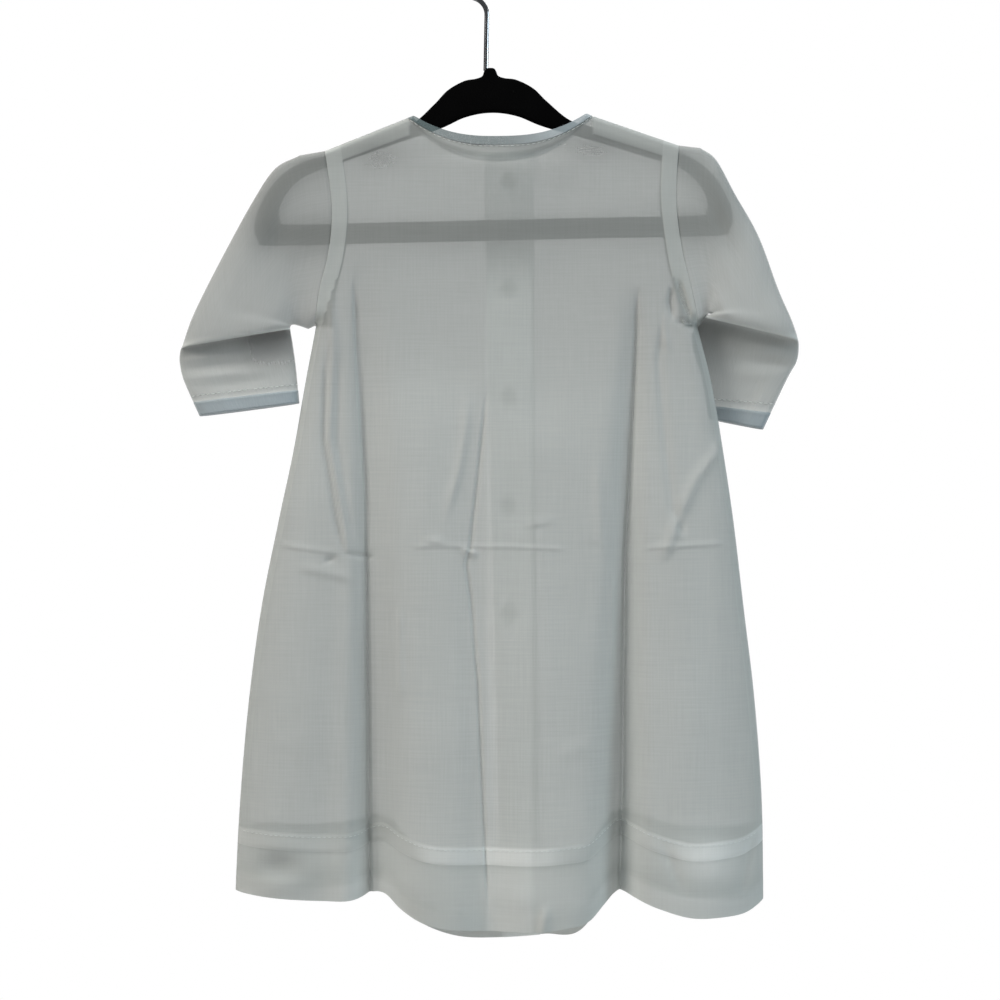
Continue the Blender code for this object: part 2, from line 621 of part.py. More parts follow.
back_panel(batiste)
front_panel("front_left", False, batiste)
front_panel("front_right", True, batiste)
for arm in ("left", "right"):
    sleeve(arm, batiste)
    cuff_binding(arm, bias_tape)
neck_binding(bias_tape)
for index, height in enumerate(BUTTON_Z, 1):
    button(index, height, pearl)
hanger_body(flocking)
hanger_hook(chrome_wire)
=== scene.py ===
# An infant's daygown of sheer white batiste, buttoned down its front, hung back to the camera
# on a slim flocked hanger. The imported solids are hidden, and tables on their form give every place. Tables
# are in millimetres and
# objects in metres: y = 0 is the hanger's plane, the back faces -Y and the buttoned front +Y.
import math

import bmesh
import bpy
import numpy as np
from mathutils import Matrix, Vector, noise


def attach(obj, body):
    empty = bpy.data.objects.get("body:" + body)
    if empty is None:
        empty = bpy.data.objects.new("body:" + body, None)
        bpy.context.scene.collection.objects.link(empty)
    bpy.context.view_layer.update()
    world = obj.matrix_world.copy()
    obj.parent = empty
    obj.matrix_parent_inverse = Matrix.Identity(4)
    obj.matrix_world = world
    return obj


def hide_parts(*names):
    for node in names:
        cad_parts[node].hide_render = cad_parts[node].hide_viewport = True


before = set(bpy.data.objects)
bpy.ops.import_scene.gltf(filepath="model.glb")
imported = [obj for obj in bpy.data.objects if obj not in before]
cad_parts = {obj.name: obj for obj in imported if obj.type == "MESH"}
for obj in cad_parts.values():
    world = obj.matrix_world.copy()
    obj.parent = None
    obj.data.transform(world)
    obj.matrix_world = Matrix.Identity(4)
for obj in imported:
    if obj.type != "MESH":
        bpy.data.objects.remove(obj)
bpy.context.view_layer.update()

mm = 0.001

# The gown's form, on the same tables as its solids
form = {
    "ply": 0.4,            # thickness of one layer of the shown cloth
    "seamGap": 0.3,
    "lapStep": 1.8,        # the outer front stands this far off the inner one
    "lapRamp": 22.0,
    "neckCentreX": 7.6,
    "underarmZ": -228.0,
    "neckPower": 2.5,
    "neckOpen": 4.0,
    "neckSpread": (42.0, 26.0),
    "neckOpenZ": -118.0,
    "shoulderRound": 3.4,
    "hemReach": 1.6,
    "foldMiddleZ": -340.0,
    "relief": 1.7,         # how strongly the creases below are pressed in
    "closer": 0.9,         # how much more cloth is looked through where it turns edge-on
}
neckSide = {"left": (-46.2, -106.3), "right": (61.4, -105.1)}
neckRim = {"left": (-43.3, -105.2), "right": (58.5, -103.9)}
shoulderTip = {"left": (-95.0, -125.8), "right": (112.0, -122.4)}
neckDrop = {"back": 17.3, "front": 24.0}
rimDrop = {"back": 13.6, "front": 20.3}
bodySections = [  # z, left x, right x, back depth, front depth
    (-585.0, -147.5, 161.5, 28.0, 25.0),
    (-557.0, -147.0, 161.5, 27.0, 24.0),
    (-500.0, -144.0, 160.5, 24.0, 21.5),
    (-440.0, -138.5, 156.0, 21.0, 19.0),
    (-390.0, -131.5, 150.0, 18.5, 17.0),
    (-340.0, -121.5, 144.0, 16.0, 15.0),
    (-300.0, -113.0, 138.0, 13.5, 13.0),
    (-260.0, -106.0, 131.0, 11.0, 11.0),
    (-228.0, -100.0, 123.0, 9.0, 9.0),
    (-190.0, -94.0, 114.0, 7.0, 7.0),
    (-160.0, -90.0, 108.0, 6.0, 6.0),
    (-125.0, -90.0, 108.0, 5.4, 5.4),
    (-100.0, -90.0, 108.0, 5.2, 5.2),
]
armholes = [  # z, left x, right x
    (-228.0, -100.0, 123.0),
    (-205.0, -97.0, 118.5),
    (-190.0, -93.2, 114.8),
    (-172.0, -90.6, 111.8),
    (-155.0, -90.6, 110.2),
    (-140.0, -92.4, 110.6),
    (-122.0, -95.2, 112.0),
]
folds = {  # start z, x at start, x at 340 down, x at hem, height at hem, half width left, right
    "back": [
        (-190.0, -74.0, -70.0, -67.0, -17.0, 9.0, 18.0),
        (-205.0, 87.0, 82.0, 76.5, -21.0, 13.0, 9.0),
        (-215.0, -88.0, -84.0, -96.0, -4.0, 15.0, 15.0),
        (-260.0, 0.0, -8.0, 2.0, -5.0, 13.0, 13.0),
        (-240.0, 20.0, 30.0, 36.0, 6.0, 26.0, 26.0),
        (-250.0, -30.0, -32.0, -28.0, 4.0, 22.0, 22.0),
        (-215.0, 104.0, 112.0, 118.0, 6.0, 26.0, 26.0),
    ],
    "front": [
        (-200.0, -74.0, -70.0, -67.0, 6.5, 11.0, 11.0),
        (-205.0, 86.0, 82.0, 77.0, 7.0, 11.0, 11.0),
        (-225.0, -88.0, -98.0, -108.0, -7.0, 17.0, 17.0),
        (-240.0, -34.0, -40.0, -45.0, -9.0, 15.0, 15.0),
        (-245.0, 46.0, 52.0, 55.0, -8.0, 14.0, 14.0),
        (-235.0, 104.0, 112.0, 118.0, -7.0, 18.0, 18.0),
    ],
}
hems = {
    "back": [  # x, z
        (-147.0, -557.0), (-119.0, -559.5), (-94.0, -561.0), (-74.0, -560.0), (-67.0, -557.2),
        (-59.0, -557.6), (-50.0, -565.0), (-36.0, -572.5), (-14.0, -576.5), (20.0, -577.2),
        (46.0, -574.8), (59.0, -571.5), (68.0, -563.5), (76.5, -556.8), (84.0, -558.6),
        (98.0, -564.0), (117.0, -569.3), (136.0, -569.5), (150.0, -567.8), (161.5, -562.0),
    ],
    "front": [
        (-147.0, -557.0), (-119.0, -558.5), (-94.0, -559.0), (-74.0, -557.5), (-66.0, -556.0),
        (-56.0, -560.5), (-46.0, -574.0), (-34.0, -583.0), (-18.0, -589.0), (8.0, -590.0),
        (34.0, -588.0), (54.0, -585.0), (64.0, -574.0), (72.0, -560.5), (80.0, -556.0),
        (98.0, -560.0), (117.0, -564.5), (136.0, -566.0), (150.0, -565.5), (161.5, -562.0),
    ],
}
lapEdges = [  # z, outer front's edge x, inner front's edge x
    (-590.0, 8.8, 31.6),
    (-400.0, 4.0, 29.5),
    (-240.0, 0.0, 28.0),
    (-120.0, -1.8, 27.5),
]

# What is sewn: how deep each allowance, hem and facing is
sewing = {
    "hemTop": [  # x, height of the hem's turned-up top above its edge
        (-147.0, 37.0), (-90.0, 38.0), (-66.0, 39.0), (-45.0, 43.5), (-20.0, 46.5), (30.0, 47.0),
        (60.0, 45.0), (77.0, 42.0), (98.0, 41.5), (125.0, 42.5), (161.5, 44.0),
    ],
    "hemStrip": 9.5,       # the raw edge turned under at the hem's top
    "hemEdge": 15.0,       # the hem's pressed edge, where its layers lie closest
    # x along the strip, and how much whiter it looks there: the doubled strip is whiter, and its rise on the
    # lobes and dips at the fold valleys are painted light and shade
    "stripX": (-95.0, -78.0, -60.0, -44.0, -34.0, 34.0, 46.0, 76.0, 90.0, 110.0),
    "stripWhiteAndShade": (0.25, 0.05, -0.05, 0.2, 0.66, 0.66, 0.25, -0.05, 0.2, 0.5),
    "paintedLightAndShade": [  # painted light and shade: x, z, how much whiter (below zero, darker), half width, half height
        (127.0, -538, 0.6, 15.0, 15.0), (-100.0, -300, 0.10, 14.0, 34.0), (20.0, -420, 0.08, 40.0, 60.0),
        (-36.0, -300, 0.05, 30.0, 50.0), (116.0, -470, 0.07, 20.0, 40.0), (-128.0, -548, -0.10, 14.0, 9.0),
        (-104.0, -520, -0.05, 30.0, 40.0), (70.0, -440, -0.03, 10.0, 120.0),
        (-95.0, -400, -0.06, 30.0, 130.0), (-59.0, -450, -0.12, 9.0, 110.0),
        (-121.0, -537, -0.22, 11.0, 8.0), (-103.0, -553, -0.16, 20.0, 13.0), (-74.0, -546, 0.2, 8.0, 13.0),
        (-62.6, -130, -0.25, 14.0, 8.0), (62.0, -126, -0.2, 12.0, 6.0), (34.0, -125, -0.14, 22.0, 22.0),
        (8.0, -130.5, 0.30, 30.0, 3.5), (26.0, -557, 0.14, 18.0, 10.0), (-34.0, -560, -0.10, 12.0, 9.0),
        (100.0, -553, -0.07, 24.0, 14.0),
    ],
    "armholeBand": 0.044,  # shares of the width
    "shoulderBand": 0.911,  # share of the yoke's height where it starts
    "sideSeam": 0.016,
    "placketPaintedLight": 0.26,  # painted light: how much the back is whitened over the lapped fronts, for the light they send back through it
    "placketX": (-1.8, 27.5),
    "placketTop": (-180.0, 34.0),  # where that starts, and over what height it grows
    "neckAlone": (5.5, 2.5, 1.9, 0.10),  # below the front's neckline, fade, layers, grey (painted shade)
}


def ease(t):
    t = np.clip(t, 0, 1)
    return t * t * (3 - 2 * t)


def curl(distance, radius):  # how far cloth has left the mid-plane: 0 at a seam, 1 past its rounding
    t = np.clip(distance / radius, 0, 1)
    return np.sqrt(1 - (1 - t) ** 2)


def readTable(table, column, at):  # one column of a table on a smooth curve along its first one
    rows = np.array(sorted(table))
    keys, values = rows[:, 0], rows[:, column]
    at = np.clip(at, keys[0], keys[-1])
    i = np.clip(np.searchsorted(keys, at) - 1, 0, len(keys) - 2)
    chords = np.diff(values) / np.diff(keys)
    chord = chords[i]
    before = chords[np.maximum(i - 1, 0)]
    after = chords[np.minimum(i + 1, len(chords) - 1)]
    step = keys[i + 1] - keys[i]
    t = (at - keys[i]) / step
    bend = (before - chord) / 2 * (1 - t) - (after - chord) / 2 * t
    return values[i] + step * t * (chord + (1 - t) * bend)


def shoulderZ(x):
    def line(side):
        (x0, z0), (x1, z1) = neckSide[side], shoulderTip[side]
        return z0 + (z1 - z0) * (x - x0) / (x1 - x0)
    return np.where(x < form["neckCentreX"], line("left"), line("right"))


def neckEdgeZ(face, x, corners, drop):
    (x0, z0), (x1, z1) = corners["left"], corners["right"]
    t = (x - x0) / (x1 - x0)
    return z0 + (z1 - z0) * t - drop[face] * (1 - np.abs(2 * t - 1) ** form["neckPower"])


def foldHeight(face, x, z):
    hemZ, middleZ = bodySections[0][0], form["foldMiddleZ"]
    total = np.zeros_like(x)
    for start, xStart, xMiddle, xHem, height, wideLeft, wideRight in folds[face]:
        upper = xStart + (xMiddle - xStart) * ease((start - z) / (start - middleZ))
        lower = xMiddle + (xHem - xMiddle) * (middleZ - z) / (middleZ - hemZ)
        line = np.where(z > middleZ, upper, lower)
        grown = np.clip((start - z) / (start - hemZ), 0, 1)
        width = np.where(x < line, wideLeft, wideRight) * (0.55 + 0.45 * grown)
        total += height * grown ** 0.8 * np.exp(-(((x - line) / width) ** 2))
    return total


def seamCurl(x, z, corners=neckSide):  # 1 in the middle of a panel, 0 at side and shoulder seams
    underarm = form["underarmZ"]
    roundness = 1.0
    for side, column in (("left", 1), ("right", 2)):
        below = np.abs(x - readTable(bodySections, column, z))
        above = np.hypot(x - readTable(bodySections, column, underarm), z - underarm)
        away = np.where(z < underarm, below, above)
        roundness = roundness * curl(away, 1.15 * readTable(bodySections, 3, z))
        cornerX, cornerZ = corners[side]
        outside = (x - cornerX) * (-1 if side == "left" else 1) >= 0
        away = np.where(outside, shoulderZ(x) - z, np.hypot(x - cornerX, z - cornerZ))
        roundness = roundness * curl(away, form["shoulderRound"])
    return roundness


def bodyDepth(face, x, z, corners=neckSide):
    left, right = readTable(bodySections, 1, z), readTable(bodySections, 2, z)
    across = np.clip(np.abs((2 * x - left - right) / (right - left)), 0, 1)
    depth = readTable(bodySections, 3 if face == "back" else 4, z)
    depth = depth * (1 - 0.3 * across ** 2 * ease((form["underarmZ"] - z) / 80))
    wide, tall = form["neckSpread"]
    nearNeck = np.exp(-((x - form["neckCentreX"]) / wide) ** 2 - ((z - form["neckOpenZ"]) / tall) ** 2)
    depth = depth + form["neckOpen"] * nearNeck + foldHeight(face, x, z)
    return depth * seamCurl(x, z, corners)


def bodyXz(face, u, row):  # row is 0 to 1 up the skirt and 1 to 2 up the yoke
    underarm, level = form["underarmZ"], hems[face][0][1]
    low = np.clip(row, 0, 1)
    z = level + (underarm - level) * low
    left, right = readTable(bodySections, 1, z), readTable(bodySections, 2, z)
    x = left + (right - left) * u
    z = z + (readTable(hems[face], 1, x) - level) * (1 - low) ** form["hemReach"]
    up = np.clip(row - 1, 0, 1)
    (tipX0, tipZ0), (tipX1, tipZ1) = shoulderTip["left"], shoulderTip["right"]
    zEdge = underarm + (tipZ0 + (tipZ1 - tipZ0) * u - underarm) * up
    holeLeft, holeRight = readTable(armholes, 1, zEdge), readTable(armholes, 2, zEdge)
    xTop = tipX0 + (tipX1 - tipX0) * u
    inNeck = (xTop > neckSide["left"][0]) & (xTop < neckSide["right"][0])
    zTop = np.where(inNeck, neckEdgeZ(face, xTop, neckSide, neckDrop) - form["seamGap"], shoulderZ(xTop))
    above = row > 1
    return (np.where(above, holeLeft + (holeRight - holeLeft) * u, x),
            np.where(above, underarm + (zTop - underarm) * up, z))


def rowAbove(face, u, height):  # the row that lies this high above the hem's edge
    level = hems[face][0][1]
    span = form["underarmZ"] - level
    row = height / span
    x = bodyXz(face, u, np.zeros_like(u))[0]
    drop = readTable(hems[face], 1, x) - level
    for _ in range(4):
        row = (height - drop * ((1 - row) ** form["hemReach"] - 1)) / span
    return row


def clothRow(face, u, line):
    # line -2 to -1 is the hem below its turned-under strip, -1 to 0 the strip, then skirt and yoke
    x = bodyXz(face, u, np.zeros_like(u))[0]
    top, strip = readTable(sewing["hemTop"], 1, x), sewing["hemStrip"]
    height = np.where(line < -1, (top - strip) * (line + 2), top + strip * line)
    hemRow = rowAbove(face, u, top)
    skirt = hemRow + (1 - hemRow) * np.clip(line, 0, 1)
    return np.where(line < 0, rowAbove(face, u, height), np.where(line <= 1, skirt, line))


def lapLift(x, z, outer):
    if not outer:
        return 0.0
    return form["lapStep"] * ease((readTable(lapEdges, 2, z) + form["lapRamp"] - x) / form["lapRamp"])


# Creases pressed or hung into the cloth. "down" lines run by z and "across" ones by x; height is
# outwards, and the two widths are those of the flanks on the low and high side of the line.
longCreases = {  # x, z down the back's three pressed lines
    "left": [(-77.8, -199), (-76.0, -244), (-73.7, -286), (-70.8, -328), (-70.2, -363), (-68.4, -585)],
    "middle": [(0.0, -262), (-4.1, -303), (-7.6, -336), (-10.0, -358), (-12.3, -367), (-9.4, -388),
               (-5.3, -435), (-1.2, -530), (1.5, -572)],
    "right": [(88.2, -205), (85.4, -278), (83.1, -328), (80.7, -361), (79.0, -505), (76.8, -585)],
}
creases = {
    "back": [
        ("down", longCreases["left"], -1.5, 0.9, 2.2, 22),
        ("down", [(-76.5, -215), (-74.0, -286), (-68.5, -363), (-66.0, -585)], 0.55, 1.2, 1.6, 22),
        ("down", [(-91.3, -205), (-89.5, -244), (-91.8, -295), (-84.2, -336), (-79.0, -368)],
         1.0, 1.8, 3.4, 20),
        ("down", [(-93.5, -240), (-94.6, -295), (-87.6, -338), (-81.0, -368)], -0.9, 1.6, 1.8, 22),
        ("down", [(-86.0, -240), (-87.0, -295), (-80.0, -340), (-76.5, -372)], -0.7, 2.4, 2.4, 24),
        ("down", [(-10.5, -262), (-12.0, -290), (-15.8, -312), (-25.7, -348)], 0.8, 3.0, 1.8, 26),
        ("down", longCreases["middle"], -0.9, 0.9, 1.5, 30),
        ("down", [(-9.0, -392), (-3.8, -435), (0.4, -530)], 0.45, 1.2, 4.0, 26),
        ("down", longCreases["right"], -1.6, 2.2, 0.9, 22),
        ("down", [(86.4, -215), (83.6, -278), (79.0, -361), (77.2, -505), (75.0, -585)], 0.55, 1.6, 1.2, 22),
        ("down", [(106.5, -205), (99.5, -248), (103.0, -295), (107.6, -336), (108.2, -352)],
         -0.9, 2.0, 3.0, 24),
        ("down", [(139.0, -292), (134.0, -303), (122.9, -316), (112.9, -336), (101.2, -368)],
         1.2, 4.5, 2.0, 12),
        ("down", [(108.5, -330), (112.0, -344), (113.5, -352)], -1.0, 2.4, 1.8, 7),
        ("down", [(-50.9, -388), (-50.2, -448)], 0.8, 1.5, 2.2, 12),
        ("down", [(73.4, -368), (72.8, -430)], 0.9, 1.5, 1.2, 14),
        ("down", [(64.0, -300), (66.0, -352), (69.0, -366)], 0.6, 2.6, 2.0, 20),
        ("down", [(-106.0, -232), (-112.0, -300), (-117.0, -360)], 0.6, 4.0, 3.0, 26),
        ("down", [(33.9, -560), (31.0, -583)], 1.4, 2.2, 3.2, 8),
        ("down", [(98.5, -522), (106.0, -540), (113.0, -560)], -1.0, 1.8, 4.0, 14),
        ("down", [(156.0, -522), (151.0, -540), (146.0, -560)], -1.3, 3.6, 2.0, 9),
        ("down", [(107.6, -204), (106.4, -214), (108.4, -226)], -1.5, 1.2, 1.8, 7),
        ("down", [(110.5, -200), (114.0, -212), (119.5, -226)], -1.4, 1.6, 1.6, 8),
        ("down", [(104.0, -216), (103.0, -232), (105.0, -246)], 1.0, 1.6, 2.2, 9),
        ("across", [(108, -225), (122, -228.5)], -1.4, 1.2, 1.2, 5),
        ("across", [(-122, -356), (-98, -359), (-83, -361)], 0.42, 1.1, 2.4, 9),
        ("across", [(-45, -357.6), (-31, -356.4), (16, -357.0), (48, -358.4)], 0.36, 0.8, 1.8, 9),
        ("across", [(88, -358), (112, -356.5), (141, -355)], 0.40, 0.9, 2.2, 9),
        ("across", [(-84, -360.5), (-64, -363.5)], -0.9, 1.5, 1.6, 6),
        ("across", [(-38, -353.5), (-22, -354.5)], 0.5, 1.2, 3.4, 6),
        ("across", [(-16, -357.5), (-4, -361.0)], 0.9, 3.0, 1.2, 4),
        ("across", [(-112, -368), (-92, -372), (-74, -376)], 0.5, 2.6, 3.6, 12),
        ("across", [(-96, -366), (-86, -363)], -0.9, 1.6, 2.0, 5),
        ("across", [(36, -476), (70, -470)], 0.5, 4.0, 5.0, 14),
        ("across", [(20, -345), (42, -341)], 0.4, 2.0, 3.0, 8),
    ],
    "front": [
        ("down", [(-74.0, -205), (-71.0, -330), (-67.5, -560)], 1.3, 1.8, 1.8, 24),
        ("down", [(86.0, -208), (82.5, -340), (77.0, -560)], 1.4, 1.8, 1.8, 24),
        ("down", [(-30.0, -250), (-38.0, -340), (-44.0, -470)], -1.1, 2.6, 3.4, 32),
        ("down", [(44.0, -262), (52.0, -352), (54.0, -500)], -1.0, 3.2, 2.4, 36),
        ("down", [(104.0, -222), (112.0, -300), (118.0, -380)], 0.9, 3.0, 4.4, 26),
        ("down", [(-92.0, -230), (-100.0, -310), (-104.0, -352)], 0.9, 3.6, 2.6, 26),
        ("down", [(-14.0, -300), (-20.0, -366)], 0.8, 2.4, 2.4, 18),
        ("across", [(-118, -356), (-60, -360), (0, -355), (70, -357), (141, -353)], 0.9, 3.0, 1.5, 16),
        ("across", [(-96, -363), (-70, -361)], -1.0, 1.8, 1.8, 8),
        ("across", [(88, -349), (120, -352)], -0.9, 1.8, 1.8, 8),
    ],
}
dents = {  # x, z, height, half width, half height
    "back": [(-120.0, -541, -3.2, 12.0, 6.5), (-120.0, -552, 1.6, 15.0, 5.0), (128.0, -540, 1.6, 16.0, 14.0),
             (-20.0, -470, 1.0, 30.0, 22.0), (35.0, -430, 0.9, 26.0, 30.0),
             (-104.0, -455, 1.2, 18.0, 40.0), (116.0, -455, 1.4, 22.0, 34.0), (7.0, -205, -0.9, 46.0, 22.0),
             (18.0, -556, 1.6, 20.0, 10.0), (30.0, -300, 1.0, 22.0, 18.0), (-44.0, -296, 0.9, 18.0, 26.0),
             (-60.0, -500, 0.9, 12.0, 26.0)],
    "front": [(-108.0, -470, 1.2, 20.0, 36.0), (112.0, -440, 1.2, 20.0, 40.0),
              (-34.0, -545, -1.6, 16.0, 10.0), (66.0, -300, -0.8, 20.0, 26.0)],
}
ripples = {  # wave across, wave up, height, seed
    "back": [(26.0, 120.0, 0.55, 3.1), (46.0, 16.0, 0.22, 7.7), (9.0, 15.0, 0.10, 5.2)],
    "front": [(29.0, 105.0, 0.60, 23.4), (50.0, 18.0, 0.22, 27.9), (9.0, 16.0, 0.10, 25.1)],
    "sleeve": [(30.0, 24.0, 0.45, 41.0), (11.0, 9.0, 0.14, 47.0)],
}


def creaseHeight(face, x, z):
    total = np.zeros_like(x)
    for way, points, height, lowSide, highSide, fade in creases[face]:
        along, across = (1, 0) if way == "down" else (0, 1)
        line = np.array(sorted(points, key=lambda p: p[along]), dtype=float)
        run, off = (z, x) if way == "down" else (x, z)
        miss = off - np.interp(run, line[:, along], line[:, across])
        ends = ease((run - line[0, along]) / fade) * ease((line[-1, along] - run) / fade)
        width = np.where(miss < 0, lowSide, highSide)
        total += height * ends * np.exp(-((miss / width) ** 2))
    total *= form["relief"]
    for cx, cz, height, wide, tall in dents[face]:
        total += height * np.exp(-((x - cx) / wide) ** 2 - ((z - cz) / tall) ** 2)
    return total


def rippleHeight(kind, a, b):  # slow unevenness of hung cloth
    total = np.zeros_like(a)
    for waveA, waveB, height, seed in ripples[kind]:
        total += height * np.array([noise.noise((p / waveA, q / waveB, seed)) for p, q in zip(a, b)])
    return total


def seamDistance(x, z):  # to the nearest side, armhole or shoulder seam
    underarm = form["underarmZ"]
    left = np.where(z < underarm, readTable(bodySections, 1, z), readTable(armholes, 1, z))
    right = np.where(z < underarm, readTable(bodySections, 2, z), readTable(armholes, 2, z))
    return np.minimum(np.minimum(x - left, right - x), np.maximum(shoulderZ(x) - z, 0))


def clothDepth(face, x, z, outer=False):  # the shown cloth's distance from the mid-plane
    depth = bodyDepth(face, x, z) + lapLift(x, z, outer)
    relief = creaseHeight(face, x, z) + rippleHeight(face, x, z)
    return depth + relief * ease(seamDistance(x, z) / 5.0)


def edgeOn(face, x, z):
    # Sheer cloth looks closer where it turns away, because more of it is looked through
    step = 0.9

    def at(dx, dz):
        return bodyDepth(face, x + dx, z + dz) + creaseHeight(face, x + dx, z + dz)
    slope = (at(step, 0) - at(-step, 0)) / (2 * step)
    rise = (at(0, step) - at(0, -step)) / (2 * step)
    return np.minimum(form["closer"] * (np.sqrt(1 + slope ** 2 + rise ** 2) - 1), 0.8)


def facePoints(face, x, z, depth):
    depth = np.maximum(depth, form["seamGap"] / 2)
    return np.stack((x, -depth if face == "back" else depth, z), axis=1)


def makeSheet(name, columns, rows, place, closed=False, flip=False):
    # A grid, each crossing put where place says. It also gives the cut's place and the ply there.
    bm = bmesh.new()
    across, up = len(columns) - 1, len(rows) - 1
    bmesh.ops.create_grid(bm, x_segments=across, y_segments=up, size=0.5)
    crossings = np.array([(v.co.x, v.co.y) for v in bm.verts])
    i = np.rint((crossings[:, 0] + 0.5) * across).astype(int)
    j = np.rint((crossings[:, 1] + 0.5) * up).astype(int)
    points, cut, ply, whiteAndShade = place(np.array(columns, dtype=float)[i], np.array(rows, dtype=float)[j])
    cutLayer = bm.loops.layers.uv.new("cut")
    plyLayer, whiteLayer = bm.verts.layers.float.new("ply"), bm.verts.layers.float.new("whiteAndShade")
    for vert, point, layers, whiteness in zip(bm.verts, points * mm, ply, whiteAndShade):
        vert.co = point
        vert[plyLayer] = layers
        vert[whiteLayer] = whiteness
    bm.verts.index_update()
    for face in bm.faces:
        for loop in face.loops:
            loop[cutLayer].uv = cut[loop.vert.index] * mm
    if closed:
        bmesh.ops.remove_doubles(bm, verts=bm.verts, dist=0.00001)
    if flip:
        bmesh.ops.reverse_faces(bm, faces=bm.faces)
    return finishMesh(bm, name)


def finishMesh(bm, name):
    mesh = bpy.data.meshes.new(name)
    bm.to_mesh(mesh)
    bm.free()
    mesh.shade_smooth()
    piece = bpy.data.objects.new(name, mesh)
    bpy.context.scene.collection.objects.link(piece)
    return piece


def thicken(piece, thick, offset=-1.0):
    wall = piece.modifiers.new("ply", "SOLIDIFY")
    wall.thickness = thick * mm
    wall.offset = offset
    wall.use_even_offset = False
    return piece


def cutSize(columns, rows, place):
    # Size of the cut that shows: its widest row, its longest column and its area
    grid = [place(np.array(columns, dtype=float), np.full(len(columns), float(row)))[0] for row in rows]
    grid = np.array(grid) * mm
    width = np.linalg.norm(np.diff(grid, axis=1), axis=2).sum(axis=1).max()
    length = np.linalg.norm(np.diff(grid, axis=0), axis=2).sum(axis=0).max()
    du, dv = np.diff(grid, axis=1)[:-1], np.diff(grid, axis=0)[:, :-1]
    return width, length, np.linalg.norm(np.cross(du, dv), axis=2).sum()


def spread(*runs):  # places along a line: (from, to, steps) runs that meet
    places = [runs[0][0]]
    for start, end, steps in runs:
        places += [start + (end - start) * k / steps for k in range(1, steps + 1)]
    return places


# Materials
def linear(hexColour):
    def channel(value):
        value /= 255
        return value / 12.92 if value <= 0.04045 else ((value + 0.055) / 1.055) ** 2.4
    return tuple(channel(int(hexColour[k:k + 2], 16)) for k in (1, 3, 5)) + (1.0,)


def addNode(tree, kind, links=None, **settings):
    node = tree.nodes.new(kind)
    for key, value in settings.items():
        setattr(node, key, value)
    for key, value in (links or {}).items():
        if isinstance(value, bpy.types.NodeSocket):
            tree.links.new(value, node.inputs[key])
        else:
            node.inputs[key].default_value = value
    return node


def newMaterial(name, **sockets):
    material = bpy.data.materials.new(name)
    material.use_nodes = True
    shader = material.node_tree.nodes["Principled BSDF"]
    for key, value in sockets.items():
        shader.inputs[key.replace("_", " ")].default_value = value
    return material, material.node_tree, shader


def threads(tree, pattern, cut):
    # Slubs along both ways of the weave. Real batiste has a thread each 0.25 mm, too fine to show
    # from here, so the slubs are drawn about 1 mm apart.
    made = []
    wide, long = 1000 / pattern["slubWidth"], 1000 / pattern["slubLength"]
    for scale in ((wide, long, 1000.0), (long, wide, 1000.0)):
        scaled = addNode(tree, "ShaderNodeMapping", {"Vector": cut, "Scale": scale})
        noisy = addNode(tree, "ShaderNodeTexNoise",
                        {"Vector": scaled.outputs[0], "Scale": 1.0, "Detail": 0.0}, noise_dimensions="2D")
        made.append(noisy.outputs[0])
    both = addNode(tree, "ShaderNodeMath", {0: made[0], 1: made[1]}, operation="ADD")
    return addNode(tree, "ShaderNodeMath", {0: both.outputs[0], 1: -1.0}, operation="ADD").outputs[0]


clothLook = {
    "single": "#CBD0CE", "doubled": "#F4F8F7", "deep": "#5E605E",  # deep: painted shade, for cloth shut in under a pleat and wherever else shade is painted
    "slubWidth": 0.9, "slubLength": 26.0,
    "alpha": (0.43, 0.80),    # of one surface, single and in the thickest band
    "slubAlpha": 0.035,
    "slubBump": 0.0,          # none on the sheer cloth, where up to eight surfaces lie behind each other
}


def wovenCloth(name, look):
    # Batiste: fine plain-woven cotton, sheer where single and whiter where layers lie together,
    # with faint slubs both ways and almost no gloss. The tape is the same cloth, folded close.
    material, tree, shader = newMaterial(name, Roughness=0.86, Specular_IOR_Level=0.3)
    cut = addNode(tree, "ShaderNodeUVMap", uv_map="cut").outputs[0]
    slubs = threads(tree, look, cut)
    ply = addNode(tree, "ShaderNodeAttribute", attribute_name="ply").outputs["Fac"]
    whiteAndShade = addNode(tree, "ShaderNodeAttribute", attribute_name="whiteAndShade").outputs["Fac"]
    colour = addNode(tree, "ShaderNodeMix", {"Factor": whiteAndShade}, data_type="RGBA")
    colour.inputs["A"].default_value = linear(look["single"])
    colour.inputs["B"].default_value = linear(look["doubled"])
    # painted shade: whiteness below zero mixes the colour towards the deep one
    shadeFactor = addNode(tree, "ShaderNodeMath", {0: whiteAndShade, 1: -1.0}, operation="MULTIPLY")
    shaded = addNode(tree, "ShaderNodeMix", {"Factor": shadeFactor.outputs[0], "A": colour.outputs["Result"]},
                     data_type="RGBA")
    shaded.inputs["B"].default_value = linear(look["deep"])
    tree.links.new(shaded.outputs["Result"], shader.inputs["Base Color"])
    low, high = look["alpha"]
    opaque = addNode(tree, "ShaderNodeMapRange", {"Value": ply, "From Min": 0.0, "From Max": 2.0,
                                                  "To Min": low, "To Max": high}, clamp=False)
    uneven = addNode(tree, "ShaderNodeMath", {0: slubs, 1: look["slubAlpha"], 2: opaque.outputs[0]},
                     operation="MULTIPLY_ADD", use_clamp=True)
    tree.links.new(uneven.outputs[0], shader.inputs["Alpha"])
    if look["slubBump"]:
        weave = addNode(tree, "ShaderNodeBump",
                        {"Strength": 0.5, "Distance": look["slubBump"], "Height": slubs})
        tree.links.new(weave.outputs[0], shader.inputs["Normal"])
    return material


batiste = wovenCloth("batistePlainWoven", clothLook)
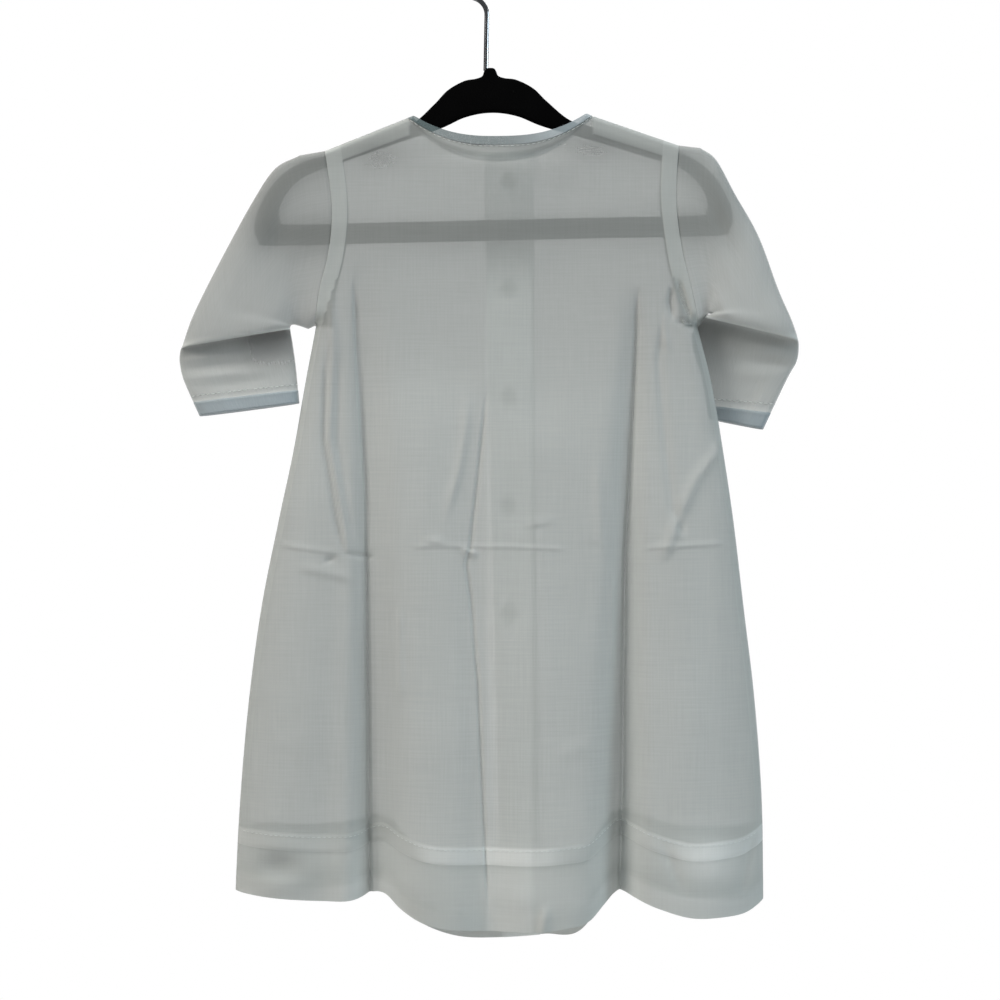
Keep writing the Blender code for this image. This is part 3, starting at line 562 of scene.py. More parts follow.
# the tape's single colour is darkened as painted shade, for the neck; the cuffs mix towards its doubled
# colour
tapeLook = {**clothLook, "single": "#708082", "doubled": "#D6E2EA", "alpha": (0.62, 0.72), "slubAlpha": 0.08,
            "slubWidth": 0.7, "slubLength": 5.0, "slubBump": 0.00006}
biasTape = wovenCloth("biasTapeBatiste", tapeLook)


def cottonThread(name, hexColour):
    # Mercerised cotton: twisted, so it catches a little light along each stitch
    material, tree, shader = newMaterial(name, Roughness=0.6, Sheen_Weight=0.2)
    place = addNode(tree, "ShaderNodeTexCoord").outputs["Object"]
    twist = addNode(tree, "ShaderNodeTexNoise", {"Vector": place, "Scale": 2500.0, "Detail": 1.0})
    tint = addNode(tree, "ShaderNodeMix", {"Factor": twist.outputs[0]}, data_type="RGBA")
    tint.inputs["A"].default_value = linear(hexColour)
    tint.inputs["B"].default_value = tuple(min(c * 1.15, 1.0) for c in linear(hexColour))
    tree.links.new(tint.outputs["Result"], shader.inputs["Base Color"])
    return material


threadWhite = cottonThread("cottonThreadTwisted", "#DDE3E2")


def flockedPlastic(name):
    # Nylon flock on moulded plastic: deep black with a soft grey bloom at grazing angles
    material, tree, shader = newMaterial(name, Roughness=1.0, Sheen_Weight=0.02, Sheen_Roughness=0.5,
                                         Specular_IOR_Level=0.04)
    place = addNode(tree, "ShaderNodeTexCoord").outputs["Object"]
    fibres = addNode(tree, "ShaderNodeTexNoise", {"Vector": place, "Scale": 1500.0, "Detail": 3.0})
    patches = addNode(tree, "ShaderNodeTexNoise", {"Vector": place, "Scale": 60.0, "Detail": 2.0})
    both = addNode(tree, "ShaderNodeMath", {0: fibres.outputs[0], 1: patches.outputs[0]},
                   operation="MULTIPLY")
    tint = addNode(tree, "ShaderNodeMix", {"Factor": both.outputs[0]}, data_type="RGBA")
    tint.inputs["A"].default_value = linear("#010101")
    tint.inputs["B"].default_value = linear("#0A0A0B")
    tree.links.new(tint.outputs["Result"], shader.inputs["Base Color"])
    bump = addNode(tree, "ShaderNodeBump", {"Strength": 0.7, "Distance": 0.0003, "Height": fibres.outputs[0]})
    tree.links.new(bump.outputs[0], shader.inputs["Normal"])
    return material


def platedWire(name):
    # Chrome plate on drawn steel wire: mirror bright, with faint draw lines
    material, tree, shader = newMaterial(name, Base_Color=linear("#9FA1A5"), Metallic=1.0, Roughness=0.16)
    place = addNode(tree, "ShaderNodeTexCoord").outputs["Object"]
    drawn = addNode(tree, "ShaderNodeMapping", {"Vector": place, "Scale": (1500.0, 1500.0, 60.0)})
    lines = addNode(tree, "ShaderNodeTexNoise", {"Vector": drawn.outputs[0], "Scale": 1.0, "Detail": 2.0})
    rough = addNode(tree, "ShaderNodeMapRange", {"Value": lines.outputs[0], "To Min": 0.10, "To Max": 0.26})
    tree.links.new(rough.outputs[0], shader.inputs["Roughness"])
    return material


def shellButton(name):
    # Polyester cast like shell: milky, glossy, with faint layered clouds
    material, tree, shader = newMaterial(name, Roughness=0.22, Coat_Weight=0.4, Coat_Roughness=0.1,
                                         Subsurface_Weight=0.0)
    place = addNode(tree, "ShaderNodeTexCoord").outputs["Object"]
    layers = addNode(tree, "ShaderNodeTexWave",
                     {"Vector": place, "Scale": 160.0, "Distortion": 6.0, "Detail": 2.0})
    tint = addNode(tree, "ShaderNodeMix", {"Factor": layers.outputs[0]}, data_type="RGBA")
    tint.inputs["A"].default_value = linear("#DAD9D2")
    tint.inputs["B"].default_value = linear("#F0F0EB")
    tree.links.new(tint.outputs["Result"], shader.inputs["Base Color"])
    glow = addNode(tree, "ShaderNodeBsdfTranslucent", {"Color": tint.outputs["Result"]})
    mixed = addNode(tree, "ShaderNodeMixShader", {0: 0.45, 1: shader.outputs[0], 2: glow.outputs[0]})
    tree.links.new(mixed.outputs[0], tree.nodes["Material Output"].inputs["Surface"])
    return material


flock = flockedPlastic("flockedPlasticBlack")
chrome = platedWire("chromePlatedWire")
shell = shellButton("castShellButton")
print("stage: materials made")


def giveMaterial(piece, material):
    piece.data.materials.clear()
    piece.data.materials.append(material)
    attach(piece, "root")
    return piece


# The hanger's outline comes first, because the cloth over it is drawn from it
hangerLook = {"tilt": math.radians(1.3), "thick": 4.4, "edge": 1.7, "steps": 8}
hangerOutline = [  # x, z of one half
    (0.0, -77.0), (2.4, -77.4), (3.6, -79.2), (4.8, -81.8), (8.6, -83.2), (15.5, -84.4),
    (25.0, -89.5), (33.0, -97.5), (46.0, -108.6), (61.0, -113.6), (95.0, -125.6),
    (109.0, -129.0), (120.5, -134.8),
    (130.5, -144.6), (137.5, -157.0), (140.0, -167.0), (137.8, -174.6), (130.0, -178.0),
    (65.0, -178.0), (0.0, -178.0),
]
hangerLoop = [
    (0.0, -103.2), (15.0, -105.5), (31.0, -112.2), (61.0, -121.4), (90.0, -131.0),
    (108.7, -137.4), (119.5, -146.0), (125.0, -156.0), (124.4, -163.6), (118.0, -166.0),
    (60.0, -166.0), (0.0, -166.0),
]


def smoothLoop(half, steps):
    points = [Vector(p) for p in half] + [Vector((-x, z)) for x, z in reversed(half[1:-1])]
    made = []
    for i in range(len(points)):
        p0, p1, p2, p3 = (points[(i + k) % len(points)] for k in (-1, 0, 1, 2))
        for step in range(steps):
            t = step / steps
            made.append(0.5 * (2 * p1 + (p2 - p0) * t + (2 * p0 - 5 * p1 + 4 * p2 - p3) * t * t
                               + (3 * p1 - p0 - 3 * p2 + p3) * t ** 3))
    return made


hangerShadow = {  # how softly the hanger shows through, with its shadow painted into the cloth: blur in mm, how close the cloth is and how grey the painted shade is
    "body": (2.8, 0.62, 0.22), "sleeve": (5.0, 1.05, 0.40),
    "yokeShade": 0.19,  # painted shade all over the yoke, where both fronts lie close behind the back
}


def hangerDistance(x, z):  # from the slab's edge, below zero inside it
    tilt = hangerLook["tilt"]
    flatX = x * math.cos(tilt) + z * math.sin(tilt)
    flatZ = z * math.cos(tilt) - x * math.sin(tilt)
    nearest, inside = np.full(len(x), 1e9), np.zeros(len(x), dtype=bool)
    for half in (hangerOutline, hangerLoop):
        points = np.array([(p.x, p.y) for p in smoothLoop(half, 2)])
        for (x0, z0), (x1, z1) in zip(points, np.roll(points, -1, axis=0)):
            dx, dz = x1 - x0, z1 - z0
            run = np.clip(((flatX - x0) * dx + (flatZ - z0) * dz) / (dx ** 2 + dz ** 2), 0, 1)
            nearest = np.minimum(nearest, np.hypot(flatX - x0 - run * dx, flatZ - z0 - run * dz))
            crosses = (z0 > flatZ) != (z1 > flatZ)
            inside ^= crosses & (flatX < x0 + (flatZ - z0) * dx / (dz if z1 != z0 else 1e-9))
    return np.where(inside, -nearest, nearest)


def hangerUnder(x, z, soft):
    blur, closer, shadeGrey = soft
    near = (z > -210) & (z < -95)
    covered = np.zeros(len(x))
    covered[near] = 1 / (1 + np.exp(hangerDistance(x[near], z[near]) / blur))
    yokeShade = hangerShadow["yokeShade"] * ease((z + 285) / 70)
    # the second value is painted shade: the hanger's blurred shadow and the yoke's grey
    return closer * covered, shadeGrey * covered + yokeShade


guides = dict(zip((0.24, 0.47, 0.76), longCreases.values()))  # the back's columns that run along them
guideMargin = 0.05


def guidedU(t, line):
    row = clothRow("back", t, line)
    z = bodyXz("back", t, row)[1]
    left, right = bodyXz("back", np.zeros_like(t), row)[0], bodyXz("back", np.ones_like(t), row)[0]
    knots = [(0.0, 0.0 * t), (guideMargin, guideMargin + 0.0 * t)]
    for column, points in guides.items():
        down = np.array(sorted(points, key=lambda p: p[1]), dtype=float)
        knots.append((column, (np.interp(z, down[:, 1], down[:, 0]) - left) / (right - left)))
    knots += [(1 - guideMargin, 1 - guideMargin + 0.0 * t), (1.0, 1.0 + 0.0 * t)]
    u = t
    for (t0, u0), (t1, u1) in zip(knots, knots[1:]):
        u = np.where((t >= t0) & (t <= t1), u0 + (u1 - u0) * (t - t0) / (t1 - t0), u)
    return u


# Back panel
def bands(u, line, shoulders=True):
    # Where layers lie under the shown one: how much closer and how much whiter it looks there
    above = line > 1
    fromEdge = np.minimum(u, 1 - u)
    x = bodyXz("back", u, np.full_like(u, 2.0))[0]
    hemX = bodyXz("back", u, np.zeros_like(u))[0]
    ply = np.where(~above & (fromEdge < sewing["sideSeam"]), 0.25, 0.0)
    whiteAndShade = ply / 5
    strip = (line < 0) & (line >= -1)
    hemWall = (readTable(sewing["hemTop"], 1, hemX) - sewing["hemStrip"]) * (line + 2)
    low = 0.5 + 1.3 * ease((sewing["hemEdge"] - hemWall) / 7)
    ply = np.where(strip, 1.5, np.where(line < -1, low, ply))
    # the strip's whiteness, with painted light on the lobes and painted shade in the fold valleys
    stripWhiteAndShade = np.interp(hemX, sewing["stripX"], sewing["stripWhiteAndShade"])
    whiteAndShade = np.where(strip, stripWhiteAndShade, np.where(line < -1, 0.1, whiteAndShade))
    taper = 1 - 0.55 * ease((1.3 - line) / 0.3)  # the allowance narrows to the underarm
    armhole = above & (fromEdge < sewing["armholeBand"] * taper)
    besideNeck = (x < neckSide["left"][0]) | (x > neckSide["right"][0])
    shoulder = above & (line - 1 > sewing["shoulderBand"]) & besideNeck
    band = armhole | shoulder if shoulders else armhole
    return np.where(band, 1.2, ply), np.where(band, np.where(armhole, 0.24, 0.10), whiteAndShade)


def panelLines():
    edge = sewing["shoulderBand"] + 1
    return spread((-2.0, -1.99, 2), (-1.99, -1.01, 13), (-1.01, -0.99, 1), (-0.99, -0.03, 4),
                  (-0.03, 0.004, 1), (0.004, 0.47, 50), (0.47, 0.61, 46), (0.61, 1.0, 42),
                  (1.0, edge - 0.004, 44),
                  (edge - 0.004, edge + 0.004, 1), (edge + 0.004, 1.97, 6), (1.97, 2.0, 6))


def seamColumns():  # close columns at a side seam and at the armhole band's edge, left and right
    band, side, fine = sewing["armholeBand"], sewing["sideSeam"], 0.001
    left = spread((0.0, 0.006, 4), (0.006, side - fine, 3), (side - fine, side + fine, 1),
                  (side + fine, band - 1.5 * fine, 4), (band - 1.5 * fine, band + 1.5 * fine, 1))
    return left, [1 - place for place in reversed(left)]


def columnsAlong(first, last):  # and close columns beside each long crease
    near, runs, start = 0.011, [], first
    for column, steps in zip(guides, (26, 40, 48)):
        runs += [(start, column - near, steps), (column - near, column + near, 12)]
        start = column + near
    return spread(*runs, (start, last, 24))[1:-1]


seamLeft, seamRight = seamColumns()
backColumns = seamLeft + columnsAlong(seamLeft[-1], seamRight[0]) + seamRight


def placeBack(t, line):
    u = guidedU(t, line)
    x, z = bodyXz("back", u, clothRow("back", u, line))
    ply, whiteAndShade = bands(u, line)
    ply = ply + edgeOn("back", x, z)
    # painted light and shade patches on the back
    for cx, cz, amount, wide, tall in sewing["paintedLightAndShade"]:
        whiteAndShade = whiteAndShade + amount * np.exp(-((x - cx) / wide) ** 2 - ((z - cz) / tall) ** 2)
    # painted shade: the hanger's blurred shadow and the yoke's grey darken the back
    over, hangerShade = hangerUnder(x, z, hangerShadow["body"])
    ply, whiteAndShade = ply + over, whiteAndShade - hangerShade
    frontRim = neckEdgeZ("front", x, neckRim, rimDrop)
    under, fade, layers, shadeGrey = sewing["neckAlone"]
    alone = ease((z - frontRim + under) / fade) * ((x > neckSide["left"][0]) & (x < neckSide["right"][0]))
    ply = np.maximum(ply, layers * alone)  # above the front's lower neckline the back hangs alone, doubled
    # painted shade: the band where the back hangs alone is greyed
    whiteAndShade = whiteAndShade - shadeGrey * alone
    (start, end), (top, fade) = sewing["placketX"], sewing["placketTop"]
    placket = ease((x - start) / 3) * ease((end - x) / 3) * ease((top - z) / fade)
    # painted light on the back over the lapped fronts
    whiteAndShade = whiteAndShade + sewing["placketPaintedLight"] * placket
    depth = clothDepth("back", x, z) + 0.15 * ply
    return facePoints("back", x, z, depth), np.stack((x, z), axis=1), ply, whiteAndShade


gownBack = makeSheet("gown_back", backColumns, panelLines(), placeBack)
thicken(gownBack, form["ply"])
giveMaterial(gownBack, batiste)
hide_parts("back_panel")
print("stage: back panel")


# Fronts: the outer one laps over the inner one by the facing's width
def frontU(t, line, outer):
    row = clothRow("front", t, line)
    middle = 0.5
    u0 = middle + t * (1 - middle) if outer else t * middle
    z = bodyXz("front", u0, row)[1]
    left, right = bodyXz("front", np.zeros_like(t), row)[0], bodyXz("front", np.ones_like(t), row)[0]
    end = (readTable(lapEdges, 1 if outer else 2, z) - left) / (right - left)
    return end + t * (1 - end) if outer else t * end


def placeFront(outer):
    def place(t, line):
        u = frontU(t, line, outer)
        x, z = bodyXz("front", u, clothRow("front", u, line))
        ply, whiteAndShade = bands(u, line, shoulders=False)
        lapped = (x > readTable(lapEdges, 1, z) - 0.2) & (x < readTable(lapEdges, 2, z) + 0.2)
        ply = np.where(lapped, 0.5 * ply, ply) + 0.6 * edgeOn("front", x, z)
        whiteAndShade = np.where(lapped, 1.0, whiteAndShade)
        depth = clothDepth("front", x, z, outer) + 0.15 * np.maximum(ply, 0)
        return facePoints("front", x, z, depth), np.stack((x, z), axis=1), ply, whiteAndShade
    return place


frontSeam = [place / 0.55 for place in seamLeft]
innerColumns = frontSeam + spread((frontSeam[-1], 0.80, 76), (0.80, 0.81, 1), (0.81, 1.0, 22))[1:]
outerColumns = [1 - place for place in reversed(innerColumns)]
fronts = {}
for name, node, outer, columns in (("gown_front_left", "front_left", False, innerColumns),
                                   ("gown_front_right", "front_right", True, outerColumns)):
    piece = makeSheet(name, columns, panelLines(), placeFront(outer), flip=True)
    thicken(piece, form["ply"])
    giveMaterial(piece, batiste)
    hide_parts(node)
    fronts[name] = (piece, columns, placeFront(outer))
print("stage: fronts")


# Sleeves: rings round the arm, with the near cloth folded over itself above the elbow
sleeveRows = {  # inner x, inner z, inner y, outer x, outer z, outer y, near depth, far depth
    "left": [
        (-104.1, -229.7, 0.0, -109.4, -128.2, 0.0, 6.6, 6.2),
        (-107.6, -228.5, 0.0, -124.0, -136.1, 0.0, 7.5, 6.6),
        (-110.6, -227.6, 0.0, -136.3, -154.2, 0.0, 9.0, 7.0),
        (-112.8, -227.1, 0.0, -150.5, -180.0, 0.0, 11.3, 7.7),
        (-114.4, -227.3, 0.0, -164.4, -206.9, 0.0, 13.6, 8.5),
        (-115.0, -227.9, 0.0, -172.6, -224.4, 0.0, 15.2, 9.0),
        (-115.2, -229.2, 0.0, -177.6, -238.6, 0.0, 14.6, 9.5),
        (-114.7, -232.6, 0.0, -179.4, -243.6, 0.0, 8.2, 10.0),
        (-113.5, -240.0, 0.0, -179.6, -250.0, 0.0, 6.0, 10.4),
        (-111.7, -253.7, 0.0, -177.0, -260.5, 0.0, 7.0, 11.0),
        (-110.0, -273.0, 0.0, -167.9, -280.6, 0.0, 9.0, 12.0),
    ],
    "right": [
        (125.4, -225.5, 0.0, 124.5, -123.8, 0.0, 6.6, 6.2),
        (127.4, -223.4, 0.0, 134.0, -131.0, 0.0, 7.5, 6.6),
        (128.6, -221.8, 0.0, 145.0, -151.0, 0.0, 9.0, 7.0),
        (129.4, -220.9, 0.0, 158.6, -175.5, 0.0, 11.3, 7.7),
        (130.2, -220.6, 0.0, 170.2, -206.9, 0.0, 13.6, 8.5),
        (130.8, -221.0, 0.0, 177.8, -224.4, 0.0, 15.2, 9.0),
        (126.8, -221.8, 2.5, 181.4, -234.5, 0.5, 14.6, 9.5),
        (122.4, -226.0, 8.0, 182.5, -240.6, 2.0, 8.2, 10.0),
        (121.5, -239.0, 14.0, 181.4, -248.8, 3.5, 6.0, 10.4),
        (127.0, -257.0, 16.0, 175.9, -259.0, 5.0, 6.5, 10.4),
        (131.5, -281.6, 17.0, 162.0, -288.2, 6.0, 7.0, 10.4),
    ],
}
sleeveLook = {
    "armholeHold": (0.55, 0.22, 0.06),
    "round": 0.62,
    "cuffBand": 6.0,
    "lipDrop": 1.6, "lipRing": 6.95, "lipWidth": 0.55,
    "tuckRise": 1.6, "tuckRing": 8.0, "tuckWidth": 0.6,
    "allowance": 9.0,
    "cuffWhite": 0.62,
    "shadePly": 1.2, "shadeRing": 8.1, "shadeWidth": 0.85,  # the pleat's layers under the lip, drawn closer and greyed there as painted shade
    "shadeDeep": {"left": 0.42, "right": 0.30},
    # a painted highlight along the lip's lower edge
    "lipHighlight": 0.8, "lipEdgeRing": 7.05, "lipEdgeWidth": 0.22,
    # painted shade in the crook by the underarm, made closer too
    "underarmShade": {"left": 0.0, "right": 0.30},
    "insideShade": {"left": 0.48, "right": 0.0},  # painted shade under the lip, down the inner side
    # painted light that lifts the painted hanger shade near the right sleeve's top and deepens it a little on
    # the left
    "sleeveTopLight": {"left": -0.04, "right": 0.09},
}
sleeveCreases = {  # ring, share of the arm's width from its top, height, ring spread, share spread
    "left": [(8.9, 0.25, 1.3, 0.28, 0.30), (9.5, 0.35, -1.2, 0.22, 0.32), (9.9, 0.30, 1.1, 0.20, 0.34),
             (10.25, 0.45, -0.9, 0.16, 0.30), (5.4, 0.55, -0.8, 0.5, 0.20), (4.1, 0.80, 0.8, 0.9, 0.10),
             (2.6, 0.40, -0.8, 1.0, 0.14), (6.2, 0.90, 1.0, 0.5, 0.12)],
    "right": [(8.8, 0.30, 1.3, 0.30, 0.28), (9.4, 0.25, -1.2, 0.24, 0.30), (9.9, 0.35, 1.2, 0.22, 0.26),
              (5.6, 0.50, -0.8, 0.5, 0.20), (4.0, 0.84, 0.9, 0.9, 0.08), (2.8, 0.36, -0.8, 1.0, 0.14),
              (6.1, 0.86, 1.1, 0.5, 0.10), (5.2, 0.94, -1.0, 0.6, 0.06)],
}


def armholePoint(side, w, face, gap):
    tipZ = shoulderTip[side][1]
    z = tipZ + (form["underarmZ"] - tipZ) * w
    x = readTable(armholes, 1 if side == "left" else 2, z)
    depth = np.where(face, bodyDepth("back", x, z), bodyDepth("front", x, z))
    return x + gap * (-1 if side == "left" else 1), np.where(face, -depth, depth), z


def placeSleeve(side):
    look = sleeveLook
    rows = [(i + 1.0, *row) for i, row in enumerate(sleeveRows[side])]
    sign = -1 if side == "left" else 1

    def place(angle, ring):
        angle = np.mod(angle, 2 * math.pi)
        near = angle < math.pi  # towards the back, which the camera sees
        swing = np.cos(angle)
        w = 0.5 - 0.5 * np.sign(swing) * np.abs(swing) ** 0.85
        gap = form["seamGap"] * (1.0 + 2.5 * w ** 6)
        ax, ay, az = armholePoint(side, w, near, gap)
        held = np.maximum(ring, 1.0)
        inX, inZ, inY, outX, outZ, outY, nearDeep, farDeep = (readTable(rows, c, held) for c in range(1, 9))
        x, z = outX + (inX - outX) * w, outZ + (inZ - outZ) * w
        depth = np.where(near, nearDeep, farDeep) * np.abs(np.sin(angle)) ** look["round"]
        y = outY + (inY - outY) * w + np.where(near, -depth, depth)
        hold = np.interp(held, range(5), (1.0, *look["armholeHold"], 0.0))
        tip, underX = shoulderTip[side], readTable(armholes, 1 if side == "left" else 2, form["underarmZ"])
        bow = ax - (tip[0] + (underX - tip[0]) * w)
        x, y = x + bow * hold, y + (ay - y) * hold
        start = np.clip(ring, 0, 1)
        x, y, z = ax + (x - ax) * start, ay + (y - ay) * start, az + (z - az) * start
        face = np.abs(np.sin(angle)) ** 0.6 * near
        z = z - look["lipDrop"] * face * np.exp(-((ring - look["lipRing"]) / look["lipWidth"]) ** 2)
        z = z + look["tuckRise"] * face * np.exp(-((ring - look["tuckRing"]) / look["tuckWidth"]) ** 2)
        along = np.hypot(x - ax, z - az)
        wave = rippleHeight("sleeve", w * 110 + 300 * near, along) * ease(ring / 1.5) * np.abs(np.sin(angle))
        for creaseRing, share, height, ringWide, shareWide in sleeveCreases[side]:
            away = ((ring - creaseRing) / ringWide) ** 2 + ((w - share) / shareWide) ** 2
            wave = wave + height * np.exp(-away) * np.abs(np.sin(angle)) ** 0.5
        y = y + np.where(near, -wave, wave)
        inward = np.clip(-ring, 0, 1) * look["allowance"]
        ix, iz = ax - sign * (inward + gap), az
        deep = np.where(near, bodyDepth("back", ix, iz), bodyDepth("front", ix, iz)) - 0.9
        under = np.clip(-ring / 0.1, 0, 1)
        x = np.where(ring < 0, ix, x)
        tucked = np.maximum(np.abs(ay) * (1 - under) + deep * under, 0.2)
        y = np.where(ring < 0, np.where(near, -1, 1) * tucked, y)
        # painted shade under the lip, by shadeDeep, with the pleat's layers drawn closer
        under = near * np.exp(-((ring - look["shadeRing"]) / look["shadeWidth"]) ** 2)
        under = under * np.abs(np.sin(angle)) ** 0.3
        ply = np.where(ring < 0, -0.6, look["shadePly"] * under)
        # painted highlight along the lip's edge: whiter and closer
        edge = near * np.exp(-((ring - look["lipEdgeRing"]) / look["lipEdgeWidth"]) ** 2)
        # painted shade where the cloth is shut in under the pleat, deeper towards the underarm
        shadeFactor = near * ease((ring - 7.1) / 0.5) * ease((10.4 - ring) / 1.2)
        whiteAndShade = look["lipHighlight"] * edge - look["shadeDeep"][side] * under
        crookShade = look["underarmShade"][side] * shadeFactor * ease((w - 0.42) / 0.4)
        whiteAndShade = whiteAndShade - crookShade - look["insideShade"][side] * shadeFactor * ease((w - 0.42) / 0.35)
        ply = ply + 0.9 * edge + 1.5 * crookShade
        # painted shade from the hanger, fading below the sleeve's top
        over, hangerShade = hangerUnder(x, z, hangerShadow["sleeve"])
        nearness = ease((z + 262) / 30)
        ply, whiteAndShade = ply + over * nearness, whiteAndShade - (hangerShade - look["sleeveTopLight"][side]) * nearness
        whiteAndShade = np.where(ring > cuffRing(side) - 0.08, look["cuffWhite"], whiteAndShade)
        cut = np.stack((w * 105 * np.where(near, 1, -1), -along), axis=1)
        return np.stack((x, y, z), axis=1), cut, ply, whiteAndShade
    return place


def cuffRing(side):
    last = len(sleeveRows[side])
    return last - sleeveLook["cuffBand"] / (sleeveRows[side][-2][1] - sleeveRows[side][-1][1])


sleeves, cuffs = {}, {}
around = spread((0.0, 2 * math.pi, 108))
for side in ("left", "right"):
    rings = spread((-1.0, -0.1, 4), (-0.1, 0.0, 1), (0.0, 1.0, 7), (1.0, 6.0, 46), (6.0, 9.0, 40),
                   (9.0, cuffRing(side), 22))
    place = placeSleeve(side)
    piece = makeSheet(f"gown_sleeve_{side}", around, rings, place, closed=True, flip=side == "left")
    thicken(piece, form["ply"])
    giveMaterial(piece, batiste)
    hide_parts(f"sleeve_{side}")
    sleeves[side] = (piece, around, rings, place)
    band = spread((cuffRing(side) - 0.06, float(len(sleeveRows[side])), 6))
    tape = makeSheet(f"gown_cuff_{side}", around, band, place, closed=True, flip=side == "left")
    thicken(tape, 0.8, -0.7)
    giveMaterial(tape, biasTape)
    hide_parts(f"cuff_binding_{side}")
    cuffs[side] = tape
print("stage: sleeves and cuffs")


# Neck binding: one tape from the inner front's edge, round the back, to the outer front's edge
bindingLook = {"steps": 90, "foot": -0.06, "thick": 1.3, "lighterRight": 0.5}  # paler towards the right


def neckRoute():
    rimZ = neckSide["left"][1] - neckDrop["front"]
    wide = neckSide["right"][0] - neckSide["left"][0]
    innerEnd = (readTable(lapEdges, 2, rimZ) - neckSide["left"][0]) / wide
    outerEnd = (readTable(lapEdges, 1, rimZ) - neckSide["left"][0]) / wide
    even = [0.5 - 0.5 * math.cos(math.pi * i / bindingLook["steps"]) for i in range(bindingLook["steps"] + 1)]
    route = [("front", float(innerEnd), False)]
    route += [("front", t, False) for t in reversed(even) if 0 < t < innerEnd - 0.01]
    route += [("back", t, False) for t in even]
    route += [("front", t, True) for t in reversed(even) if outerEnd + 0.01 < t < 1]
    return route + [("front", float(outerEnd), True)]


route = neckRoute()


def placeNeck(i, up):
    points = np.zeros((len(i), 3))
    whiteAndShade = np.zeros(len(i))
    cut = np.stack((i * 1.5, up * 8), axis=1)
    for k, (number, share) in enumerate(zip(i.astype(int), up)):
        face, along, outer = route[number]
        share = bindingLook["foot"] + (1 - bindingLook["foot"]) * share
        corners = {side: tuple(low + (high - low) * share for low, high in zip(neckSide[side], neckRim[side]))
                   for side in ("left", "right")}
        drop = {face: neckDrop[face] + (rimDrop[face] - neckDrop[face]) * share}
        x = np.array([corners["left"][0] + (corners["right"][0] - corners["left"][0]) * along])
        z = neckEdgeZ(face, x, corners, drop)
        depth = bodyDepth(face, x, z, corners) + lapLift(x, z, outer) + 0.35 * (1 - max(share, 0)) + 0.2
        points[k] = (x[0], (-depth if face == "back" else depth)[0], z[0])
        whiteAndShade[k] = bindingLook["lighterRight"] * float(ease((along - 0.5) / 0.4))
    return points, cut, np.zeros(len(i)), whiteAndShade


neckRows = (0.0, 0.06, 0.3, 0.55, 0.8, 0.95, 1.0)
neckTape = makeSheet("gown_neck_binding", range(len(route)), neckRows, placeNeck)
thicken(neckTape, bindingLook["thick"])
giveMaterial(neckTape, biasTape)
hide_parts("neck_binding")
print("stage: neck binding")


# Hanger
def curvePiece(name, curve, turn=None):  # a curve as a mesh with its place in its points
    source = bpy.data.objects.new(name + "_line", curve)
    bpy.context.scene.collection.objects.link(source)
    bpy.context.view_layer.update()
    mesh = bpy.data.meshes.new_from_object(source.evaluated_get(bpy.context.evaluated_depsgraph_get()))
    bpy.data.objects.remove(source)
    bpy.data.curves.remove(curve)
    if turn:
        mesh.transform(turn)
    bm = bmesh.new()
    bm.from_mesh(mesh)
    bmesh.ops.remove_doubles(bm, verts=bm.verts, dist=0.00001)
    return finishMesh(bm, name)


def hangerSlab():
    curve = bpy.data.curves.new("hanger", "CURVE")
    curve.dimensions = "2D"
    curve.fill_mode = "BOTH"
    curve.extrude = (hangerLook["thick"] / 2 - hangerLook["edge"]) * mm
    curve.bevel_depth = hangerLook["edge"] * mm
    curve.bevel_resolution = 4
    curve.offset = -hangerLook["edge"] * mm
    for half in (hangerOutline, hangerLoop):
        points = smoothLoop(half, hangerLook["steps"])
        spline = curve.splines.new("POLY")
        spline.points.add(len(points) - 1)
        for slot, point in zip(spline.points, points):
            slot.co = (point.x * mm, point.y * mm, 0.0, 1.0)
        spline.use_cyclic_u = True
    turn = Matrix.Rotation(-hangerLook["tilt"], 4, "Y") @ Matrix.Rotation(math.pi / 2, 4, "X")
    return curvePiece("hanger", curve, turn)


hanger = hangerSlab()
hanger.data.set_sharp_from_angle(angle=math.radians(50))
giveMaterial(hanger, flock)
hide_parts("hanger_body")

hookLook = {"wire": 1.5, "inner": 18.0, "lean": 10.0, "end": math.radians(-35.0), "footX": -0.6,
            "footZ": -78.5}


def hookWire():
    radius = hookLook["inner"] + hookLook["wire"]
    lean = math.acos(hookLook["lean"] / (hookLook["lean"] + radius))
    leanZ = -hookLook["inner"] - (hookLook["lean"] + radius) * math.sin(lean)
    footX, footZ = hookLook["footX"], hookLook["footZ"]
    points = [(footX * (1 - t), footZ + (leanZ - footZ) * t) for t in spread((0.0, 0.9, 9))]
    for t in spread((0.0, lean, 14)):
        points.append((hookLook["lean"] * (math.cos(t) - 1), leanZ + hookLook["lean"] * math.sin(t)))
    start = math.pi + lean
    for t in spread((start, hookLook["end"], 60))[1:]:
        points.append((radius * math.cos(t), -hookLook["inner"] + radius * math.sin(t)))
    curve = bpy.data.curves.new("hook", "CURVE")
    curve.dimensions = "3D"
    curve.bevel_depth = hookLook["wire"] * mm
    curve.bevel_resolution = 6
    curve.use_fill_caps = True
    spline = curve.splines.new("POLY")
    spline.points.add(len(points) - 1)
    for slot, (x, z) in zip(spline.points, points):
        slot.co = (x * mm, 0.0, z * mm, 1.0)
    return curvePiece("hook", curve)


hook = hookWire()
hook.data.set_sharp_from_angle(angle=math.radians(50))
giveMaterial(hook, chrome)
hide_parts("hanger_hook")
print("stage: hanger and hook")

# Machine stitches: short thread bars that dip at their ends, along edges sewn on the real gown
stitchLook = {"long": 2.5, "pitch": 3.1, "radius": 0.16, "proud": 0.10}  # mm, the pitch from stitch to stitch


